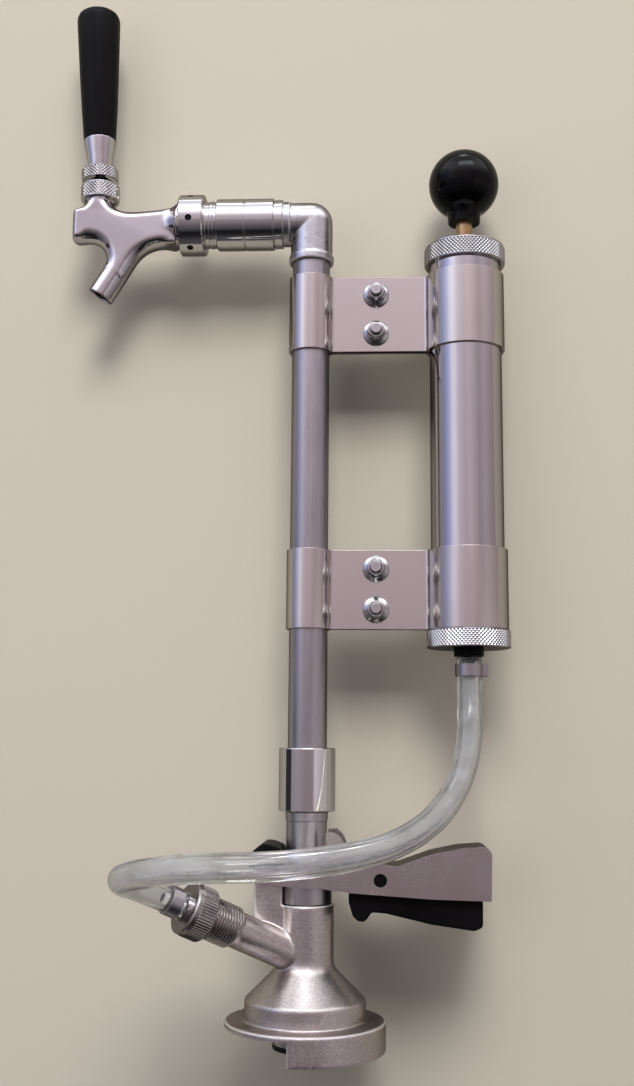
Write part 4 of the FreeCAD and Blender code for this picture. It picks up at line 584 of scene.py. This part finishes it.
# every turned part: outline as (radius, height), its place, finish and edge rounding
turnedParts = dict(
    probe=dict(at=atRiser, finish="stem", rounding=0.25, outline=[
        (4.2, 3.6), (17.9, 3.6), (17.9, 9.8), (11, 9.8), (11, 58.2), (9.28, 58.2), (9.28, 60), (11, 60), (11, 78),
        (14.25, 78), (14.25, 87.65), (10, 87.65), (10, 92.95), (14.25, 92.95), (14.25, 96), (11.4, 96),
        (11.4, 122.7), (11.9, 122.7), (11.9, 127.6), (11.45, 127.6), (11.45, 145), (6.6, 145), (6.6, 8), (4.2, 8)]),
    beer_nut=dict(at=atRiser, finish="chrome", rounding=0.7, segments=3, outline=[
        (11.5, 128), (16, 128), (16, 163), (11.15, 163), (11.15, 153), (13.3, 153), (13.3, 145.5), (11.5, 145.5)]),
    riser_tube=dict(at=atRiser, finish="riser", rounding=0, outline=[
        (9.9, 149.5), (11.1, 149.5), (11.1, 451.25), (9.9, 451.25)]),
    pump_tube=dict(at=atPump, finish="barrel", rounding=0, outline=[
        (20, 224), (21.2, 224), (21.2, 455.3), (20, 455.3)]),
    bottom_cap=dict(at=atPump, finish="cap", rounding=0.35, outline=[
        (5.25, 219.8), (23.3, 219.8), (23.6, 220.1), (23.6, 229.9), (23.4, 230.2), (21.25, 230.2), (21.25, 223),
        (5.25, 223)]),
    top_cap=dict(at=atPump, finish="cap", rounding=0.35, outline=[
        (8.65, 459.5), (23.3, 459.5), (23.6, 459.2), (23.6, 448.8), (23.4, 448.5), (21.25, 448.5), (21.25, 456.3),
        (8.65, 456.3)]),
    tap_adapter=dict(at=atTap, finish="chrome", rounding=0.2, outline=[
        (5, 8.7), (10.4, 8.7), (10.4, 17.3), (14.5, 17.3), (14.5, 22), (14.1, 22.1), (14.1, 22.6), (15.5, 22.9),
        (15.5, 39.5), (14.9, 39.6), (14.9, 40.4), (15.5, 40.5), (15.5, 56.8), (14.8, 57.5), (13.8, 57.5),
        (13.8, 59.2), (14.2, 59.5), (14.2, 61.3), (13.8, 61.6), (13.8, 63.8), (14.2, 64.2), (14.2, 72.6), (8, 72.6),
        (8, 64.6), (5, 64.6)]),
    bonnet=dict(at=atBoss, finish="chrome", rounding=0.2, outline=[
        (9.25, 493.3), (11.3, 493.3), (11.5, 493.6), (11.5, 502.7), (9.4, 504.5), (7.4, 504.5), (7.4, 503.3),
        (9.25, 503.3)]),
    lever_collar=dict(at=atLever, finish="chrome", rounding=0.2, outline=[
        (3.05, 14.58), (6.5, 13.4), (9, 11.87), (10.8, 9.9), (10.95, 10.0), (10.95, 16.8), (10.6, 17.3), (3.05, 17.3)]),
    handle_ferrule=dict(at=atLever, finish="chrome", rounding=0.25, outline=[
        (0, 29.2), (3.05, 29.2), (3.05, 17.3), (7.25, 17.3), (7.6, 18.3), (7.75, 23.3), (8.6, 28.5), (9.75, 35.6),
        (9.75, 36.3), (9.5, 36.5), (0, 36.5)]),
    tap_handle=dict(at=atLever, finish="handle", rounding=0, outline=[
        (0, 36.5), (9.85, 36.5)] + [(9.85 + 3.5 * t ** 0.8, 36.5 + 79.5 * t) for t in (0.25, 0.5, 0.75, 1)] +
        [(13.05, 118.2), (12.3, 119.9), (11.0, 121.0), (9.3, 121.6), (5, 121.95), (0, 122)]),
    ball_knob=dict(at=atPump, finish="gloss", rounding=0, outline=[
        (5, 476), (9.2, 476), (9.5, 476.3), (9.9, 481.2), (10.4, 482.4)] + arc(21, 500.7, -59, 90, 44) + [
        (0, 492), (5, 492)]),
    gas_nut=dict(at=atPort, finish="nut", rounding=0.2, outline=[
        (11.5, 66.5), (13.4, 66.5), (14.2, 67.3), (14.2, 79.2), (13.4, 80), (7.55, 80), (7.55, 76), (11.5, 76)]),
    rod_bush=dict(at=atPump, finish="dark", rounding=0.2, outline=[
        (5.05, 447.5), (8.6, 447.5), (8.6, 459.5), (11, 459.5), (10.5, 461.3), (5.05, 461.3)]),
    pump_rod=dict(at=atPump, finish="rod", rounding=0, outline=[
        (0, 236), (4, 236), (4, 254.5), (5, 254.5), (5, 492), (0, 492)]))


def addTurned():
    for node, part in turnedParts.items():
        bm = bmesh.new()
        turned(bm, part["outline"], 160)
        addPiece(bm, node + "Turned", turnedFinish[part["finish"]], node, part["at"], True, 28, part["rounding"],
                 part.get("segments", 2))
    print("turned parts ready")


# knurled bands: the turned part, radius, ends, and the diamonds' pitch and depth; ribs run straight
bands = dict(
    topCapKnurl=dict(node="top_cap", radius=23.6, low=449.3, high=458.4, pitch=2.2, depth=0.46, proud=0.5),
    bottomCapKnurl=dict(node="bottom_cap", radius=23.6, low=220.6, high=229.6, pitch=2.2, depth=0.46, proud=0.5),
    bonnetKnurl=dict(node="bonnet", radius=11.5, low=494.4, high=502.0, pitch=2.15, depth=0.46, proud=0.5),
    collarKnurl=dict(node="lever_collar", radius=10.95, low=10.3, high=16.4, pitch=2.15, depth=0.46, proud=0.5),
    gasNutRibs=dict(node="gas_nut", radius=14.25, low=67.6, high=76.6, pitch=1.49, depth=0.6, proud=0.25,
                    straight=True))
bandChamfer = 0.35


def knurlBand(bm, radius, low, high, pitch, depth, proud, straight=False):
    # a band of diamonds, or of straight ribs, that stands a little proud of the turned part under it
    around = 4 * round(math.pi * radius / pitch)
    rows = 1 if straight else max(2, round((high - low) / (pitch * 0.5)))
    rim = bmesh.ops.create_circle(bm, segments=around, radius=radius)["verts"]
    bmesh.ops.translate(bm, vec=(0, 0, low), verts=rim)
    edges = list(bm.edges)
    for _ in range(rows):
        grown = bmesh.ops.extrude_edge_only(bm, edges=edges)["geom"]
        fresh = [item for item in grown if isinstance(item, bmesh.types.BMVert)]
        bmesh.ops.translate(bm, vec=(0, 0, (high - low) / rows), verts=fresh)
        edges = [item for item in grown if isinstance(item, bmesh.types.BMEdge) and item.is_boundary]
    for vertex in bm.verts:
        column = round((math.atan2(vertex.co.y, vertex.co.x) % math.tau) * around / math.tau)
        row = 0 if straight else round((vertex.co.z - low) * rows / (high - low))
        crest = radius + proud if (column + row) % 2 else radius + proud - depth
        vertex.co.x, vertex.co.y = vertex.co.xy.normalized() * crest
    # both rims dive under the surface, so that the band ends in a chamfer
    middle = (high + low) / 2
    for sign in (1, -1):
        rim = [edge for edge in bm.edges if edge.is_boundary and (edge.verts[0].co.z - middle) * sign > 0]
        for item in bmesh.ops.extrude_edge_only(bm, edges=rim)["geom"]:
            if isinstance(item, bmesh.types.BMVert):
                item.co.z += sign * bandChamfer
                item.co.x, item.co.y = item.co.xy.normalized() * (radius - bandChamfer)
    if not straight:
        bmesh.ops.triangulate(bm, faces=bm.faces, quad_method="SHORT_EDGE")


def addKnurls():
    for name, band in bands.items():
        sizes = dict(band)
        node = sizes.pop("node")
        part = turnedParts[node]
        bm = bmesh.new()
        knurlBand(bm, **sizes)
        addPiece(bm, name, turnedFinish[part["finish"]], node, part["at"], sharp=22)
    print("knurls ready")


ring = dict(middle=(-73, 0, 477), holes=6, firstTurn=97, segments=180, rounding=0.2,
            drill=dict(radius=2, depth=6, out=18.8, segments=40),
            # the black plugs below are painted shade in the holes' bottoms
            shadeFloor=dict(radius=1.97, depth=2, out=16.2, segments=32),
            outline=[(14.25, 64.8), (17.45, 64.8), (18.25, 65.6), (18.25, 79.2), (17.45, 80), (11.75, 80), (11.75, 77),
                     (14.25, 77)])


def aroundRing(plug):
    # one plug for each spanner hole
    bm = bmesh.new()
    for i in range(ring["holes"]):
        turn = math.radians(ring["firstTurn"] + 360 / ring["holes"] * i)
        away = Vector((0, -math.sin(turn), math.cos(turn)))
        bmesh.ops.create_cone(bm, cap_ends=True, segments=plug["segments"], radius1=plug["radius"],
                              radius2=plug["radius"], depth=plug["depth"],
                              matrix=along(Vector(ring["middle"]) + away * plug["out"], away))
    return bm


def addRing():
    # the coupling ring with its spanner holes cut in
    bm = bmesh.new()
    turned(bm, ring["outline"], ring["segments"])
    piece = addPiece(bm, "couplingRing", chrome, "coupling_ring", atTap, True, 28)
    drills = aroundRing(ring["drill"])
    bmesh.ops.scale(drills, vec=(mm, mm, mm), verts=drills.verts)
    tool = makeObject(drills, "spannerDrills", chrome)
    hole = piece.modifiers.new("holes", "BOOLEAN")
    hole.object, hole.operation, hole.solver = tool, "DIFFERENCE", "EXACT"
    piece.data = evaluated(piece)
    piece.modifiers.clear()
    bpy.data.objects.remove(tool)
    smoothShade(piece.data, 30)
    softEdge(piece, ring["rounding"])
    evenShade(piece)
    # painted shade: black plugs sit at the bottom of the spanner holes, so that the holes read dark
    addPiece(aroundRing(ring["shadeFloor"]), "spannerHoleShade", blackRubber, "coupling_ring")
    print("coupling ring ready")


def addPortThread():
    pitch, root, crest = port["pitch"], port["root"], port["crest"]
    turns = (port["threadTo"] - port["threadFrom"]) / pitch - 0.6
    steps = round(turns * 64)
    tooth = [(root - 0.5, -0.48), (root, -0.46), (crest, -0.08), (crest, 0.08), (root, 0.46), (root - 0.5, 0.48)]
    bm = bmesh.new()
    windThread(bm, [(radius, port["threadFrom"] + 0.5 * pitch + share * pitch) for radius, share in tooth],
               turns, turns * pitch / steps, steps)
    addPiece(bm, "portThread", threadSteel, "coupler_body", atPort)
    print("port thread ready")


def clearThread(bm):
    # the casting's plain thread zone goes down to the root of the modelled thread
    start = Vector((0, 0, port["height"])) * mm
    for vertex in bm.verts:
        run = (vertex.co - start).dot(port["along"])
        away = vertex.co - start - port["along"] * run
        if run > port["plainFrom"] * mm and port["root"] * mm < away.length < port["reach"] * mm:
            vertex.co = start + port["along"] * run + away.normalized() * port["root"] * mm


# flanged nuts over the bolts' ends: heights run from the clamp's face
nut = dict(x=39, pitch=23.7, bottoms=(230.4, 395.6), clampHeight=46, face=3.0, firstTurn=0.35, turnStep=0.55,
           across=10, hexFrom=1.2, hexHeight=4.0, crownIn=0.55, crownUp=0.3, rounding=0.3,
           flange=[(3.2, 0), (7.5, 0), (7.7, 0.2), (7.7, 0.9), (7.3, 1.3), (6.3, 1.7), (5.2, 2.6), (3.2, 2.6)],
           collar=[(3.3, 4.2), (5.0, 4.2), (5.0, 6.6), (4.75, 7.5), (4.3, 8.0), (3.75, 8.0), (3.3, 7.5)],
           thread=[(2.8, 6.8), (3.13, 7.05), (3.13, 7.15), (2.8, 7.4)], threadTurns=2.4, threadSteps=58,
           threadClimb=1 / 24)


def hexagon():
    bm = bmesh.new()
    bmesh.ops.create_circle(bm, cap_ends=True, segments=6, radius=nut["across"] / 2 / math.cos(math.pi / 6))
    top = bmesh.ops.extrude_face_region(bm, geom=list(bm.faces))["geom"]
    bmesh.ops.translate(bm, vec=(0, 0, nut["hexHeight"]), verts=[v for v in top if isinstance(v, bmesh.types.BMVert)])
    crown = [face for face in bm.faces if all(v.co.z > nut["hexHeight"] / 2 for v in face.verts)]
    bmesh.ops.inset_region(bm, faces=crown, thickness=nut["crownIn"], depth=nut["crownUp"])
    return bm


def joinInto(bm, part, at):
    bmesh.ops.transform(part, matrix=at, verts=part.verts)
    data = bpy.data.meshes.new("part")
    part.to_mesh(data)
    part.free()
    bm.from_mesh(data)
    bpy.data.meshes.remove(data)


def addNuts():
    nuts, threads = bmesh.new(), bmesh.new()
    heights = [bottom + nut["clampHeight"] / 2 + side * nut["pitch"] / 2
               for bottom in nut["bottoms"] for side in (-1, 1)]
    for count, height in enumerate(heights):
        at = along((nut["x"], -nut["face"], height), (0, -1, 0), nut["firstTurn"] + count * nut["turnStep"])
        for outline in (nut["flange"], nut["collar"]):
            part = bmesh.new()
            turned(part, outline, 48)
            bmesh.ops.remove_doubles(part, verts=part.verts, dist=1e-4)
            joinInto(nuts, part, at)
        joinInto(nuts, hexagon(), at @ Matrix.Translation((0, 0, nut["hexFrom"])))
        part = bmesh.new()
        windThread(part, nut["thread"], nut["threadTurns"], nut["threadClimb"], nut["threadSteps"])
        joinInto(threads, part, at)
    addPiece(nuts, "flangeNuts", boltSteel, "clamp_nuts", stands=True, rounding=nut["rounding"])
    addPiece(threads, "boltThreads", boltSteel, "clamp_nuts")
    print("nuts ready")


bodyOf = {name: body for body, members in frame["record"]["behaviour"]["bodies"].items() for name in members}
slotOf = {entry["node"]: entry["material_slot"] for entry in frame["record"]["subparts"]}
addCamera()
addWorld()
addMat()
addLamps()

chrome = polished("chromePlate", (0.83, 0.82, 0.83), 0.035, 0.03, (0.6, 0.57, 0.55))
tubeSteel = brushed("brushedRiser", (0.60, 0.57, 0.60), (1, 1, 0.02), 0.24)
pumpSteel = polished("pumpBarrel", (0.76, 0.73, 0.75), 0.03, 0.05)
sheetSteel = polished("clampSheet", (0.83, 0.785, 0.75), 0.14, 0.05)
leverSteel = polished("leverSheet", (0.70, 0.65, 0.64), 0.22, 0.08)
casting = castSatin("satinCasting")
elbowCast = castSatin("elbowCasting", (0.60, 0.60, 0.63), (0.76, 0.76, 0.79), 0.20)
tapSatin = polished("tapSatin", (0.76, 0.73, 0.75), 0.07, 0.06)
capMetal = polished("capMetal", (0.70, 0.69, 0.71), 0.14, 0.06)
nutSteel = brushed("gasNutSteel", (0.50, 0.47, 0.46), (1, 1, 1), 0.22, 0.06)
threadSteel = polished("threadSteel", (0.62, 0.59, 0.58), 0.12, 0.08)
boltSteel = polished("boltSteel", (0.74, 0.73, 0.74), 0.14, 0.08)
brass = turnedBrass("turnedBrass")
blackSatin = plainPlastic("blackSatin", (0.0040, 0.0036, 0.0040), 0.36, 0.08, 1.18)
blackGloss = plainPlastic("blackGloss", (0.0022, 0.0022, 0.0026), 0.05, 0.01, 1.26)
blackRubber = plainPlastic("blackRubber", (0.007, 0.007, 0.007), 0.55, 0.08, 1.3)
whitePlastic = plainPlastic("whitePlastic", (0.72, 0.71, 0.67), 0.4)
greyPlastic = plainPlastic("greyPlastic", (0.25, 0.25, 0.26), 0.45)

bySlot = dict(chrome=chrome, stainless_brushed=tubeSteel, stainless_polished=pumpSteel, zinc_steel=boltSteel,
              spring_steel=boltSteel, brass=brass, black_matte=blackSatin, black_rubber=blackRubber,
              grey_plastic=greyPlastic, white_plastic=whitePlastic)
turnedFinish = dict(chrome=chrome, stem=tubeSteel, riser=tubeSteel, barrel=pumpSteel, cap=capMetal, nut=nutSteel,
                    handle=blackSatin, gloss=blackGloss, dark=blackRubber, rod=brass)
sheets = ("lower_clamp_front", "lower_clamp_back", "upper_clamp_front", "upper_clamp_back")
sheetFinish = {"lever_handle": leverSteel, **{node: sheetSteel for node in sheets}}
edgeRounding = {node: 0.8 for node in sheets}
edgeRounding.update(clamp_bolts=0.45, clamp_washers=0.2, lever_handle=0.35, hinge_pin=0.3, gas_hose_clamp=0.15,
                    outlet_hose_clamp=0.15, outlet_barb=0.2)
# each spring with the body that it pushes and its two ends; a spring's piece stays where it is and follows no body
springs = dict(valve_spring=dict(b="outlet_valve", start=(0.092, 0, 0.2231), end=(0.092, 0, 0.2279)),
               trigger_spring=dict(b="trigger", start=(0.088, 0, 0.106), end=(0.072, 0, 0.09)))
castings = dict(coupler_body=dict(material=casting, voxel=0.62, shape=clearThread),
                elbow=dict(material=elbowCast, voxel=0.42),
                tap_body=dict(material=tapSatin, voxel=0.45, flow=tapFlow),
                grip_trigger=dict(material=blackSatin, voxel=0.6),
                lever_end_cap=dict(material=blackSatin, voxel=0.45))
modelled = set(turnedParts) | {"hose", "coupling_ring", "clamp_nuts"}
for node, slot in slotOf.items():
    if node in castings:
        castCopy(node, **castings[node])
    elif node not in modelled:
        nodeCopy(node, sheetFinish.get(node) or bySlot[slot], edgeRounding.get(node, 0))
print("copies ready")
addTurned()
addRing()
addKnurls()
addPortThread()
addNuts()
addHose()

scene.view_settings.view_transform = "Standard"
